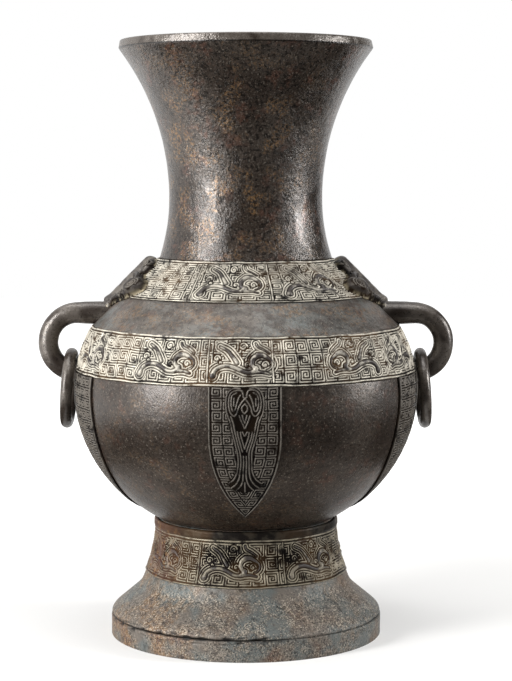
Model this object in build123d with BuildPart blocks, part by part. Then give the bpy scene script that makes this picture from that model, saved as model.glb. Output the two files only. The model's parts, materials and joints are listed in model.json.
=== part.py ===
from build123d import *

import os
from math import asin, cos, degrees, hypot, radians, sin, sqrt

os.makedirs("parts", exist_ok=True)

# Bronze hu vessel, in millimetres, +Z up, standing at the origin with its handles on the X axis.
# Five castings are stacked from the floor up: foot ring, foot, belly, shoulder and neck.
# Three ornamented hoops lie in shallow recesses of the foot, the belly and the shoulder.

# Heights of the parts of the profile, from the floor up
foot_ring_height = 12.2
skirt_height = 25.2
foot_band_height = 31.6
belly_height = 88.5
belly_band_height = 26.7
shoulder_height = 17.4
shoulder_band_height = 21.9
neck_height = 126.5

# Radii and curves of the outer wall
foot_ring_radius = 80.4
foot_ring_proud = 0.2
foot_waist_radius = 53.3
foot_curve_radius = 84.0
skirt_cove_drop = 8.3
skirt_cove_radius = 10.0
skirt_edge_height = 2.4
skirt_edge_radius = 3.5
belly_radius = 100.6
belly_widest_drop = 11.5
belly_base_inset = 2.6
belly_band_bow = 1.6
shoulder_inset = 10.9
neck_waist_radius = 45.05
neck_waist_rise = 34.5
neck_lower_curve = 105.0
mouth_radius = 73.7
lip_height = 5.5
lip_proud = 0.7
lip_width = 4.6
lip_round = 1.6

# Walls, hoops and fits
wall = 4.0
band_thickness = 2.2
band_proud = 0.9
solder_film = 0.15
neck_spigot_depth = 5.0
neck_spigot_wall = 2.2
neck_collar_depth = 4.0
neck_flange = 4.0
belly_spigot_depth = 8.5
plate_thickness = 4.0
plate_ledge = 3.5
ledge_drop = 4.0
foot_seat_width = 6.7
foot_ring_lip = 2.0
foot_ring_lip_height = 2.0

# Running beasts and dividers that stand out of a sunk ground on the belly and shoulder hoops
band_relief = 0.7
band_border = 1.7
divider_width = 0.9
relief_reach = 6.0
beast_length = 37.0
belly_beast_stretch = (0.97, 1.0)
shoulder_beast_stretch = (0.95, 1.1)

# Strokes of a beast, from its lower left corner: start, middle and end of each arc, and its width
beast_strokes = (
    ((6.3, 21.0), (11.0, 16.6), (15.2, 9.8), 1.8),
    ((2.2, 4.8), (6.5, 9.0), (13.2, 9.2), 2.4),
    ((12.6, 9.4), (19.5, 7.0), (26.8, 7.4), 2.8),
    ((26.2, 6.6), (27.2, 10.6), (26.0, 15.0), 3.2),
    ((25.8, 14.6), (30.4, 16.4), (35.2, 13.6), 2.6),
    ((26.4, 6.4), (30.4, 5.8), (33.4, 4.4), 1.6),
    ((25.6, 6.4), (21.9, 5.2), (18.2, 5.0), 1.2),
)

# Places round the hoops, in degrees from the middle of the front, and the way each beast faces
belly_beasts = ((-66.0, 1), (-27.0, 1), (-1.4, 1), (39.5, -1), (66.0, -1))
belly_dividers = (-12.0, 9.0)
shoulder_beasts = ((-8.0, 1), (34.6, 1))
shoulder_dividers = (-26.0, 12.5)

# Raised blades on the belly
lappet_thickness = 1.1
front_lappet_half_width = 20.3
front_lappet_straight = 27.5
front_lappet_length = 77.5
side_lappet_half_width = 51.0
side_lappet_straight = 17.5
side_lappet_length = 84.0
lappet_foot_gap = 1.0

# Handles and rings
loop_radius = 17.6
loop_thickness = 12.0
loop_root_drop = 2.1
tenon_diameter = 8.0
tenon_end = 0.5
tenon_root = 3.0
ring_radius = 20.5
ring_bar = 7.0
ring_stand = 2.85
ring_play = 0.3
ring_rest_angle = -60.0
ring_lean = 4.0

# Beast masks on the shoulder, measured up the slope from the lower line of the shoulder hoop
mask_relief = 3.2
mask_top = 29.5
mask_top_half_width = 11.0
mask_bottom = -12.5
mask_ridge = 5.6
mask_crest = 4.5
mask_brow = 5.2
mask_brow_rise = 12.0
mask_muzzle = 8.0
mask_muzzle_rise = -3.0
mask_snout = 5.6
mask_eye = 4.5
mask_eye_spread = 14.0
mask_eye_rise = 8.0
mask_eye_lift = 0.5
mask_ear = 8.0
mask_ear_spread = 30.0
mask_ear_rise = 6.5
mask_ear_lift = -0.5
mask_horn = 6.0
mask_horn_spread = 15.0
mask_horn_rise = 23.5
mask_horn_lift = -0.5
mask_notch_half_width = 20.0
mask_notch_rise = 17.0
peg_diameter = 6.0
peg_rise = 14.0

# Heights of the register lines above the floor
foot_band_bottom = foot_ring_height + skirt_height
foot_band_top = foot_band_bottom + foot_band_height
belly_band_bottom = foot_band_top + belly_height
belly_band_top = belly_band_bottom + belly_band_height
shoulder_band_bottom = belly_band_top + shoulder_height
shoulder_band_top = shoulder_band_bottom + shoulder_band_height
total_height = shoulder_band_top + neck_height
lip_bottom = total_height - lip_height
neck_waist_height = shoulder_band_top + neck_waist_rise
belly_widest_height = belly_band_bottom - belly_widest_drop
belly_seam = (belly_band_bottom + belly_band_top) / 2
band_recess = band_thickness - band_proud
half_turn = (0, 0, 180)
mouth_flare = mouth_radius - neck_waist_radius
mouth_rise = lip_bottom - neck_waist_height
neck_upper_curve = (mouth_flare**2 + mouth_rise**2) / (2 * mouth_flare)


def hollow_curve(height, waist_height, waist_radius, curve_radius, inset):
    """Radius of a wall that curves outward, away from its waist, at a height."""
    centred = curve_radius + inset
    return waist_radius - inset + centred - sqrt(centred**2 - (height - waist_height) ** 2)


def foot_wall(height, inset=0.0):
    """Radius of the foot under its hoop."""
    return hollow_curve(height, foot_band_top, foot_waist_radius, foot_curve_radius, inset)


def neck_wall(height, inset=0.0):
    """Radius of the neck, tighter in its curve below the waist than above it."""
    curve = neck_lower_curve if height < neck_waist_height else neck_upper_curve
    return hollow_curve(height, neck_waist_height, neck_waist_radius, curve, inset)


# The belly is an ellipse that is widest just under its hoop and narrows to its seat on the foot
belly_base_radius = foot_waist_radius - belly_base_inset
belly_drop = belly_widest_height - foot_band_top
belly_depth = belly_drop / sqrt(1 - (belly_base_radius / belly_radius) ** 2)


def belly_wall(height, inset=0.0):
    """Radius of the belly at a height."""
    share = (height - belly_widest_height) / (belly_depth - inset)
    return (belly_radius - inset) * sqrt(1 - share**2)


# The wall behind the belly hoop is a bowed arc from the belly to the shoulder
shoulder_radius = belly_radius - shoulder_inset
band_low_radius = belly_wall(belly_band_bottom)
band_chord = hypot(band_low_radius - shoulder_radius, belly_band_height)
band_curve = (band_chord**2 / 4 + belly_band_bow**2) / (2 * belly_band_bow)
band_centre_pull = (band_curve - belly_band_bow) / band_chord
band_centre_radius = (band_low_radius + shoulder_radius) / 2 - band_centre_pull * belly_band_height
band_centre_height = belly_seam - band_centre_pull * (band_low_radius - shoulder_radius)


def band_wall(height, inset=0.0):
    """Radius of the wall behind the belly hoop."""
    return band_centre_radius + sqrt((band_curve - inset) ** 2 - (height - band_centre_height) ** 2)


# The shoulder is a cone from the belly hoop up to the neck
neck_base_radius = neck_wall(shoulder_band_top)
cone_rise = shoulder_band_top - belly_band_top
cone_run = shoulder_radius - neck_base_radius
cone_length = hypot(cone_rise, cone_run)
cone_normal = Vector(cone_rise / cone_length, 0, cone_run / cone_length)
cone_upward = Vector(-cone_run / cone_length, 0, cone_rise / cone_length)


def cone_wall(height, inset=0.0):
    """Radius of the shoulder cone at a height."""
    plain = neck_base_radius + (shoulder_band_top - height) * cone_run / cone_rise
    return plain - inset / cone_normal.X


def wall_arc(radius_at, start, end, inset=0.0):
    """Arc of a curved wall between two points of a profile."""
    middle = (start[1] + end[1]) / 2
    return ThreePointArc(start, (radius_at(middle, inset), middle), end)


def belly_arc(low, high, inset=0.0):
    """Ellipse of the belly, drawn upward from one height to another."""
    width = belly_radius - inset
    depth = belly_depth - inset
    low_angle = degrees(asin((low - belly_widest_height) / depth))
    high_angle = degrees(asin((high - belly_widest_height) / depth))
    centre = (0, belly_widest_height)
    return EllipticalCenterArc(centre, width, depth, low_angle, arc_size=high_angle - low_angle)


def offset_corner(before, corner, after, distance):
    """Corner of a bent profile line, drawn downward, moved towards the middle of the vessel."""
    first = (Vector(*corner) - Vector(*before)).normalized()
    second = (Vector(*after) - Vector(*corner)).normalized()
    first_normal = Vector(first.Y, -first.X)
    second_normal = Vector(second.Y, -second.X)
    mitre = (first_normal + second_normal) / (1 + first_normal.dot(second_normal))
    moved = Vector(*corner) + mitre * distance
    return (moved.X, moved.Y)


# Handles: the ring's top bar hangs just above the belly's widest line and sets where the loop is
loop_bar_radius = loop_thickness / 2
loop_low = belly_band_bottom - loop_root_drop
loop_middle = loop_low + loop_radius
loop_high = loop_middle + loop_radius
ring_hang = loop_radius - loop_bar_radius - ring_bar / 2 - ring_play
ring_top_radius = belly_radius + ring_stand
ring_top_height = loop_middle + ring_hang * sin(radians(ring_rest_angle))
loop_centre_radius = ring_top_radius - ring_hang * cos(radians(ring_rest_angle))
root_hole_radius = loop_bar_radius + solder_film
tenon_hole_radius = tenon_diameter / 2 + solder_film
root_reach = belly_radius + loop_thickness

# Beast masks: a plane that lies on the shoulder cone, with its Y axis up the slope
mask_origin = Vector(cone_wall(shoulder_band_bottom), 0, shoulder_band_bottom)
mask_plane = Plane(origin=mask_origin, x_dir=(0, 1, 0), z_dir=cone_normal)
peg_origin = mask_origin + cone_upward * peg_rise
peg_hole_radius = peg_diameter / 2 + solder_film
peg_length = mask_relief + wall + tenon_end


def handle_holes(height, radius):
    """Two holes on the X axis, one for each handle, from the middle of the vessel outward."""
    with BuildSketch(Plane.YZ) as hole:
        with Locations((0, height)):
            Circle(radius)
    extrude(hole.sketch, amount=root_reach, both=True, mode=Mode.SUBTRACT)


def peg_holes():
    """A hole for each mask's peg, square to the shoulder."""
    for side in (1, -1):
        origin = Vector(side * peg_origin.X, 0, peg_origin.Z)
        outward = Vector(side * cone_normal.X, 0, cone_normal.Z)
        with BuildSketch(Plane(origin, x_dir=(0, 1, 0), z_dir=outward)) as hole:
            Circle(peg_hole_radius)
        extrude(hole.sketch, amount=peg_length, both=True, mode=Mode.SUBTRACT)


# Foot ring: the upright rim on the floor, with a lip that centres the foot
skirt_edge_at = foot_ring_radius - foot_ring_proud
foot_seat_radius = skirt_edge_at - foot_seat_width
ring_lip_outer = foot_seat_radius - solder_film
ring_lip_inner = ring_lip_outer - foot_ring_lip

with BuildPart() as foot_ring:
    with BuildSketch(Plane.XZ):
        with BuildLine():
            Polyline(
                (ring_lip_inner, 0),
                (foot_ring_radius, 0),
                (foot_ring_radius, foot_ring_height),
                (ring_lip_outer, foot_ring_height),
                (ring_lip_outer, foot_ring_height + foot_ring_lip_height),
                (ring_lip_inner, foot_ring_height + foot_ring_lip_height),
                close=True,
            )
        make_face()
    revolve(axis=Axis.Z)

# Foot: a flared skirt below and a waisted collar under the hoop
skirt_top = (foot_wall(foot_band_bottom), foot_band_bottom)
cove_lean = foot_band_height / sqrt(foot_curve_radius**2 - foot_band_height**2)
skirt_cove = (skirt_top[0] + skirt_cove_drop * cove_lean, skirt_top[1] - skirt_cove_drop)
skirt_edge = (skirt_edge_at, foot_ring_height + skirt_edge_height)
skirt_foot = (skirt_edge_at, foot_ring_height)
inner_cove = offset_corner(skirt_top, skirt_cove, skirt_edge, wall)
skirt_fall = (skirt_cove[1] - skirt_edge[1]) / (skirt_edge[0] - skirt_cove[0])
inner_land_height = inner_cove[1] - (foot_seat_radius - inner_cove[0]) * skirt_fall
foot_bore_radius = foot_waist_radius - wall

with BuildPart() as foot:
    with BuildSketch(Plane.XZ):
        with BuildLine():
            FilletPolyline(
                skirt_top,
                skirt_cove,
                skirt_edge,
                skirt_foot,
                radius=[skirt_cove_radius, skirt_edge_radius],
            )
            inner_top = (foot_bore_radius, foot_band_top)
            inner_bottom = (foot_wall(foot_band_bottom, wall), foot_band_bottom)
            Polyline(
                skirt_foot,
                (foot_seat_radius, foot_ring_height),
                (foot_seat_radius, inner_land_height),
                inner_cove,
                inner_bottom,
            )
            wall_arc(foot_wall, inner_bottom, inner_top, wall)
            recess_top = (foot_wall(foot_band_top, band_recess), foot_band_top)
            recess_bottom = (foot_wall(foot_band_bottom, band_recess), foot_band_bottom)
            Line(inner_top, recess_top)
            wall_arc(foot_wall, recess_top, recess_bottom, band_recess)
            Line(recess_bottom, skirt_top)
        make_face()
    revolve(axis=Axis.Z)

# Foot hoop, let into the collar of the foot
with BuildPart() as foot_band:
    with BuildSketch(Plane.XZ):
        with BuildLine():
            back = band_recess - solder_film
            top = foot_band_top
            bottom = foot_band_bottom
            back_top = (foot_wall(top, back), top)
            back_bottom = (foot_wall(bottom, back), bottom)
            front_top = (foot_wall(top, -band_proud), top)
            front_bottom = (foot_wall(bottom, -band_proud), bottom)
            wall_arc(foot_wall, back_top, back_bottom, back)
            Line(back_bottom, front_bottom)
            wall_arc(foot_wall, front_bottom, front_top, -band_proud)
            Line(front_top, back_top)
        make_face()
    revolve(axis=Axis.Z)

# Belly: the bowl, with a spigot in the foot and a ledge for its floor
spigot_radius = foot_bore_radius - solder_film
floor_radius = spigot_radius - wall
ledge_radius = floor_radius - plate_ledge
ledge_height = foot_band_top - ledge_drop
spigot_end = foot_band_top - belly_spigot_depth
bowl_share = ledge_radius / (belly_radius - wall)
bowl_floor = belly_widest_height - (belly_depth - wall) * sqrt(1 - bowl_share**2)

with BuildPart() as belly:
    with BuildSketch(Plane.XZ):
        with BuildLine():
            seam_outer = (band_wall(belly_seam, band_recess), belly_seam)
            seam_inner = (band_wall(belly_seam, wall), belly_seam)
            ledge_outer = (band_wall(belly_band_bottom, band_recess), belly_band_bottom)
            bowl_outer = (band_low_radius, belly_band_bottom)
            bowl_inner = (belly_wall(belly_band_bottom, wall), belly_band_bottom)
            wall_arc(band_wall, seam_outer, ledge_outer, band_recess)
            Line(ledge_outer, bowl_outer)
            belly_arc(foot_band_top, belly_band_bottom)
            Polyline(
                (belly_base_radius, foot_band_top),
                (spigot_radius, foot_band_top),
                (spigot_radius, spigot_end),
                (floor_radius, spigot_end),
                (floor_radius, ledge_height),
                (ledge_radius, ledge_height),
                (ledge_radius, bowl_floor),
            )
            belly_arc(bowl_floor, belly_band_bottom, wall)
            wall_arc(band_wall, bowl_inner, seam_inner, wall)
            Line(seam_inner, seam_outer)
        make_face()
    revolve(axis=Axis.Z)
    handle_holes(loop_low, tenon_hole_radius)

# Floor of the bowl, let in from below against the ledge
with BuildPart() as bottom_plate:
    with BuildSketch(Plane.XY.offset(ledge_height - plate_thickness)):
        Circle(floor_radius - solder_film)
    extrude(amount=plate_thickness)

# Shoulder: a cone with a recess for each hoop and a collar for the neck
collar_radius = cone_wall(shoulder_band_top, wall)
collar_end = shoulder_band_top - neck_collar_depth

with BuildPart() as shoulder:
    with BuildSketch(Plane.XZ):
        with BuildLine():
            seam_outer = (band_wall(belly_seam, band_recess), belly_seam)
            seam_inner = (band_wall(belly_seam, wall), belly_seam)
            recess_end = (band_wall(belly_band_top, band_recess), belly_band_top)
            cone_inner = (cone_wall(belly_band_top, wall), belly_band_top)
            wall_arc(band_wall, seam_outer, recess_end, band_recess)
            Polyline(
                recess_end,
                (shoulder_radius, belly_band_top),
                (cone_wall(shoulder_band_bottom), shoulder_band_bottom),
                (cone_wall(shoulder_band_bottom, band_recess), shoulder_band_bottom),
                (cone_wall(shoulder_band_top, band_recess), shoulder_band_top),
                (collar_radius, shoulder_band_top),
                (collar_radius, collar_end),
                (cone_wall(collar_end, wall), collar_end),
                cone_inner,
            )
            wall_arc(band_wall, cone_inner, seam_inner, wall)
            Line(seam_inner, seam_outer)
        make_face()
    revolve(axis=Axis.Z)
    handle_holes(loop_high, tenon_hole_radius)
    peg_holes()

def hoop_plane(angle, radius, height, normal):
    """Plane against a hoop, at an angle from the middle of the front and at a height."""
    turn = 270 + angle
    return Plane(
        origin=Vector(radius, 0, height).rotate(Axis.Z, turn),
        x_dir=Vector(0, 1, 0).rotate(Axis.Z, turn),
        z_dir=normal.rotate(Axis.Z, turn),
    )


def beast(facing, stretch):
    """Running beast, drawn in strokes, facing right or left."""
    for *points, width in beast_strokes:
        placed = [(facing * (x - beast_length / 2) * stretch[0], y * stretch[1]) for x, y in points]
        with BuildLine() as stroke:
            ThreePointArc(*placed)
        trace(stroke.line, width)


# Ground of the belly hoop, sunk between its borders, beasts and dividers
belly_ground_low = belly_band_bottom + band_border
belly_ground_high = belly_band_top - band_border
belly_hoop_normal = Vector(belly_band_height, 0, band_low_radius - shoulder_radius) / band_chord

with BuildPart() as belly_ground:
    with BuildSketch(Plane.XZ):
        with BuildLine():
            deep = band_relief - band_proud
            clear = -band_thickness
            ground_low = (band_wall(belly_ground_low, deep), belly_ground_low)
            ground_high = (band_wall(belly_ground_high, deep), belly_ground_high)
            clear_low = (band_wall(belly_ground_low, clear), belly_ground_low)
            clear_high = (band_wall(belly_ground_high, clear), belly_ground_high)
            wall_arc(band_wall, ground_low, ground_high, deep)
            Line(ground_high, clear_high)
            wall_arc(band_wall, clear_high, clear_low, clear)
            Line(clear_low, ground_low)
        make_face()
    revolve(axis=Axis.Z)
    for side in (0, 180):
        for angle, facing in belly_beasts:
            foot_plane = hoop_plane(angle + side, ground_low[0], belly_ground_low, belly_hoop_normal)
            with BuildSketch(foot_plane):
                beast(facing, belly_beast_stretch)
        for angle in belly_dividers:
            middle_plane = hoop_plane(angle + side, band_wall(belly_seam), belly_seam, belly_hoop_normal)
            with BuildSketch(middle_plane):
                Rectangle(divider_width, band_chord)
    extrude(amount=relief_reach, both=True, mode=Mode.SUBTRACT)

# Belly hoop, which covers the seam between belly and shoulder
with BuildPart() as belly_band:
    with BuildSketch(Plane.XZ):
        with BuildLine():
            back = band_recess - solder_film
            top = belly_band_top - solder_film
            bottom = belly_band_bottom
            back_top = (band_wall(top, back), top)
            back_bottom = (band_wall(bottom, back), bottom)
            front_top = (band_wall(top, -band_proud), top)
            front_bottom = (band_wall(bottom, -band_proud), bottom)
            wall_arc(band_wall, back_bottom, back_top, back)
            Line(back_top, front_top)
            wall_arc(band_wall, front_top, front_bottom, -band_proud)
            Line(front_bottom, back_bottom)
        make_face()
    revolve(axis=Axis.Z)
    add(belly_ground.part, mode=Mode.SUBTRACT)
    handle_holes(loop_low, root_hole_radius)
    handle_holes(loop_high, root_hole_radius)

# Ground of the shoulder hoop, sunk in the same way
shoulder_ground_low = shoulder_band_bottom + band_border * cone_upward.Z
shoulder_ground_high = shoulder_band_top - band_border * cone_upward.Z
shoulder_ground_middle = (shoulder_ground_low + shoulder_ground_high) / 2
shoulder_hoop_length = shoulder_band_height / cone_upward.Z

with BuildPart() as shoulder_ground:
    with BuildSketch(Plane.XZ):
        with BuildLine():
            deep = band_relief - band_proud
            clear = -band_thickness
            Polyline(
                (cone_wall(shoulder_ground_low, deep), shoulder_ground_low),
                (cone_wall(shoulder_ground_low, clear), shoulder_ground_low),
                (cone_wall(shoulder_ground_high, clear), shoulder_ground_high),
                (cone_wall(shoulder_ground_high, deep), shoulder_ground_high),
                close=True,
            )
        make_face()
    revolve(axis=Axis.Z)
    for side in (0, 180):
        for angle, facing in shoulder_beasts:
            foot_radius = cone_wall(shoulder_ground_low)
            foot_plane = hoop_plane(angle + side, foot_radius, shoulder_ground_low, cone_normal)
            with BuildSketch(foot_plane):
                beast(facing, shoulder_beast_stretch)
        for angle in shoulder_dividers:
            middle_radius = cone_wall(shoulder_ground_middle)
            middle_plane = hoop_plane(angle + side, middle_radius, shoulder_ground_middle, cone_normal)
            with BuildSketch(middle_plane):
                Rectangle(divider_width, shoulder_hoop_length)
    extrude(amount=relief_reach, both=True, mode=Mode.SUBTRACT)

# Shoulder hoop, which lies under the edge of the neck
with BuildPart() as shoulder_band:
    with BuildSketch(Plane.XZ):
        with BuildLine():
            back = band_recess - solder_film
            top = shoulder_band_top - solder_film
            bottom = shoulder_band_bottom
            Polyline(
                (cone_wall(bottom, back), bottom),
                (cone_wall(bottom, -band_proud), bottom),
                (cone_wall(top, -band_proud), top),
                (cone_wall(top, back), top),
                close=True,
            )
        make_face()
    revolve(axis=Axis.Z)
    add(shoulder_ground.part, mode=Mode.SUBTRACT)
    handle_holes(loop_high, root_hole_radius)
    peg_holes()

# Neck: a trumpet with a thick lip, and a spigot in the shoulder's collar
spigot_outer = collar_radius - solder_film
spigot_inner = spigot_outer - neck_spigot_wall
flange_height = shoulder_band_top + neck_flange
lip_radius = mouth_radius + lip_proud

with BuildPart() as neck:
    with BuildSketch(Plane.XZ):
        with BuildLine():
            base = (neck_base_radius, shoulder_band_top)
            waist = (neck_waist_radius, neck_waist_height)
            under_lip = (mouth_radius, lip_bottom)
            inner_lip = (neck_wall(lip_bottom, wall), lip_bottom)
            inner_waist = (neck_waist_radius - wall, neck_waist_height)
            inner_base = (neck_wall(flange_height, wall), flange_height)
            wall_arc(neck_wall, base, waist)
            wall_arc(neck_wall, waist, under_lip)
            FilletPolyline(
                under_lip,
                (lip_radius, lip_bottom + lip_proud),
                (lip_radius, total_height),
                (lip_radius - lip_width, total_height),
                inner_lip,
                radius=[lip_proud, lip_round, lip_round / 2],
            )
            wall_arc(neck_wall, inner_lip, inner_waist, wall)
            wall_arc(neck_wall, inner_waist, inner_base, wall)
            Polyline(
                inner_base,
                (spigot_inner, flange_height),
                (spigot_inner, shoulder_band_top - neck_spigot_depth),
                (spigot_outer, shoulder_band_top - neck_spigot_depth),
                (spigot_outer, shoulder_band_top),
                base,
            )
        make_face()
    revolve(axis=Axis.Z)


def lappet_shell():
    """Thin skin over the belly, from the foot up to the belly hoop."""
    low = foot_band_top + lappet_foot_gap
    high = belly_band_bottom - solder_film
    back = -solder_film
    front = -solder_film - lappet_thickness
    with BuildSketch(Plane.XZ) as skin:
        with BuildLine():
            belly_arc(low, high, back)
            belly_arc(low, high, front)
            Line((belly_wall(low, back), low), (belly_wall(low, front), low))
            Line((belly_wall(high, back), high), (belly_wall(high, front), high))
        make_face()
    revolve(skin.sketch, axis=Axis.Z)


def lappet_outline(half_width, straight, length):
    """Blade with straight sides above and a pointed arch below."""
    shoulder_line = belly_band_bottom - straight
    tip = belly_band_bottom - length
    with BuildLine() as blade:
        TangentArc((half_width, shoulder_line), (0, tip), tangent=(0, -1))
        TangentArc((-half_width, shoulder_line), (0, tip), tangent=(0, -1))
        Polyline(
            (-half_width, shoulder_line),
            (-half_width, belly_band_bottom),
            (half_width, belly_band_bottom),
            (half_width, shoulder_line),
        )
    make_face(blade.line)


# Raised blades on the front and the back
with BuildPart() as lappet_front:
    lappet_shell()
    with BuildSketch(Plane.XZ):
        lappet_outline(front_lappet_half_width, front_lappet_straight, front_lappet_length)
    extrude(amount=root_reach, mode=Mode.INTERSECT)

with BuildPart() as lappet_back:
    add(lappet_front.part, rotation=half_turn)

# Broad blades under the handles, notched round the lower root of the loop
with BuildPart() as lappet_right:
    lappet_shell()
    with BuildSketch(Plane.YZ):
        lappet_outline(side_lappet_half_width, side_lappet_straight, side_lappet_length)
    extrude(amount=root_reach, mode=Mode.INTERSECT)
    handle_holes(loop_low, root_hole_radius)

with BuildPart() as lappet_left:
    add(lappet_right.part, rotation=half_turn)


def above_slope(across, rise, height):
    """Point of the right mask: across it, up the slope, and out from the shoulder."""
    return mask_plane.from_local_coords((across, rise, height))


def bosses(radius, spread, rise, lift):
    """A pair of rounded bosses, one on each side of the mask, at a lift from the curve of the shoulder."""
    shoulder_here = cone_wall(mask_origin.Z + rise * cone_upward.Z)
    fall = (shoulder_here - sqrt(shoulder_here**2 - spread**2)) * cone_normal.X
    for across in (spread, -spread):
        boss_centre = above_slope(across, rise, lift - fall)
        with Locations(Plane(boss_centre, x_dir=(0, 1, 0), z_dir=cone_normal)):
            Sphere(radius)


# Beast mask: lobed plate, long nose, eyes, ears and horns, on a peg through the shoulder
mask_low = mask_origin.Z + mask_bottom
mask_high = shoulder_band_top
neck_clear = shoulder_band_top + mask_ridge

with BuildPart() as right_mask:
    with BuildSketch(Plane.XZ):
        with BuildLine():
            Polyline(
                (cone_wall(mask_low, wall), mask_low),
                (cone_wall(mask_low, -mask_relief), mask_low),
                (cone_wall(mask_high, -mask_relief), mask_high),
                (cone_wall(mask_high, wall), mask_high),
                close=True,
            )
        make_face()
    revolve(axis=Axis.Z)
    with BuildSketch(mask_plane):
        with BuildLine():
            half_outline = Spline(
                (0, mask_bottom),
                (mask_muzzle, mask_muzzle_rise - mask_muzzle / 2),
                (mask_ear_spread, mask_ear_rise - mask_ear),
                (mask_ear_spread + mask_ear, mask_ear_rise),
                (mask_ear_spread, mask_ear_rise + mask_ear),
                (mask_notch_half_width, mask_notch_rise),
                (mask_horn_spread + mask_horn, mask_horn_rise),
                (mask_top_half_width, mask_top),
                (0, mask_top),
                tangents=[(1, 0), (-1, 0)],
            )
            mirror(half_outline, about=Plane.YZ)
        make_face()
    extrude(amount=mask_ear_spread, both=True, mode=Mode.INTERSECT)
    for rise, radius in (
        (mask_top, mask_crest),
        (mask_brow_rise, mask_brow),
        (mask_muzzle_rise, mask_muzzle),
        (mask_bottom, mask_snout),
    ):
        ridge_axis = above_slope(0, rise, mask_ridge - radius)
        with BuildSketch(Plane(ridge_axis, x_dir=(0, 1, 0), z_dir=-cone_upward)):
            Circle(radius)
    loft()
    bosses(mask_eye, mask_eye_spread, mask_eye_rise, mask_eye_lift)
    bosses(mask_ear, mask_ear_spread, mask_ear_rise, mask_ear_lift)
    bosses(mask_horn, mask_horn_spread, mask_horn_rise, mask_horn_lift)
    with BuildSketch(Plane.XZ):
        with BuildLine():
            Polyline(
                (0, belly_band_top),
                (cone_wall(belly_band_top, -solder_film), belly_band_top),
                (cone_wall(shoulder_band_bottom, -solder_film), shoulder_band_bottom),
                (cone_wall(shoulder_band_bottom, -band_proud - solder_film), shoulder_band_bottom),
                (cone_wall(shoulder_band_top, -band_proud - solder_film), shoulder_band_top),
                (neck_base_radius + solder_film, shoulder_band_top),
                (neck_wall(neck_clear) + solder_film, neck_clear),
                (0, neck_clear),
                close=True,
            )
        make_face()
    revolve(axis=Axis.Z, mode=Mode.SUBTRACT)
    handle_holes(loop_high, root_hole_radius)
    with BuildSketch(Plane(peg_origin, x_dir=(0, 1, 0), z_dir=-cone_normal).offset(-mask_relief)):
        Circle(peg_diameter / 2)
    extrude(amount=peg_length)

with BuildPart() as left_mask:
    add(right_mask.part, rotation=half_turn)

# Loop handle: a round bar from the shoulder, out round a half circle and back into the belly
upper_start = cone_wall(loop_high) - loop_thickness
lower_end = belly_wall(loop_low) - loop_thickness

with BuildPart() as right_loop:
    with BuildLine(Plane.XZ) as bar_path:
        Line((upper_start, loop_high), (loop_centre_radius, loop_high))
        ThreePointArc(
            (loop_centre_radius, loop_high),
            (loop_centre_radius + loop_radius, loop_middle),
            (loop_centre_radius, loop_low),
        )
        Line((loop_centre_radius, loop_low), (lower_end, loop_low))
    with BuildSketch(Plane(bar_path.line @ 0, z_dir=bar_path.line % 0)):
        Circle(loop_bar_radius)
    sweep(path=bar_path.line)
    with BuildSketch(Plane.XZ):
        with BuildLine():
            film = -solder_film
            seat_low = (belly_wall(belly_widest_height, film), belly_widest_height)
            seat_band = (belly_wall(belly_band_bottom, film), belly_band_bottom)
            seat_cone = (cone_wall(belly_band_top, film), belly_band_top)
            seat_neck = (cone_wall(shoulder_band_top, film), shoulder_band_top)
            belly_arc(belly_widest_height, belly_band_bottom, film)
            wall_arc(band_wall, seat_band, seat_cone, film)
            Polyline(seat_cone, seat_neck, (0, shoulder_band_top), (0, belly_widest_height), seat_low)
        make_face()
    revolve(axis=Axis.Z, mode=Mode.SUBTRACT)
    for tenon_inner, seat, height in (
        (cone_wall(loop_high, wall) - tenon_end, cone_wall(loop_high), loop_high),
        (belly_wall(loop_low, wall) - tenon_end, belly_wall(loop_low), loop_low),
    ):
        with BuildSketch(Plane.YZ.offset(tenon_inner)):
            with Locations((0, height)):
                Circle(tenon_diameter / 2)
        extrude(amount=seat + tenon_root - tenon_inner)

with BuildPart() as left_loop:
    add(right_loop.part, rotation=half_turn)

# Loose ring: hangs in the loop, leaning out a little past the swell of the belly
lean = radians(ring_lean)
ring_centre = (ring_top_radius + ring_radius * sin(lean), 0, ring_top_height - ring_radius * cos(lean))
ring_plane = Plane(ring_centre, x_dir=(0, 1, 0), z_dir=(cos(lean), 0, sin(lean)))

with BuildPart(ring_plane) as right_ring:
    Torus(ring_radius, ring_bar / 2)

with BuildPart() as left_ring:
    add(right_ring.part, rotation=half_turn)

pieces = {
    "foot_ring": foot_ring,
    "foot": foot,
    "foot_band": foot_band,
    "belly": belly,
    "bottom_plate": bottom_plate,
    "belly_band": belly_band,
    "shoulder": shoulder,
    "shoulder_band": shoulder_band,
    "neck": neck,
    "lappet_front": lappet_front,
    "lappet_back": lappet_back,
    "lappet_left": lappet_left,
    "lappet_right": lappet_right,
    "left_mask": left_mask,
    "right_mask": right_mask,
    "left_loop": left_loop,
    "right_loop": right_loop,
    "left_ring": left_ring,
    "right_ring": right_ring,
}
for name, piece in pieces.items():
    piece.part.label = name
    export_step(piece.part, f"parts/{name}.step")

print(f"height {total_height:.1f}, ring pivot at x {ring_top_radius:.2f}, z {ring_top_height:.2f}")
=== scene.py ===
import json
import math

import bpy
import numpy as np
from bpy.props import FloatProperty, FloatVectorProperty, PointerProperty
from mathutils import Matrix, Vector
from mathutils.bvhtree import BVHTree


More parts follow.
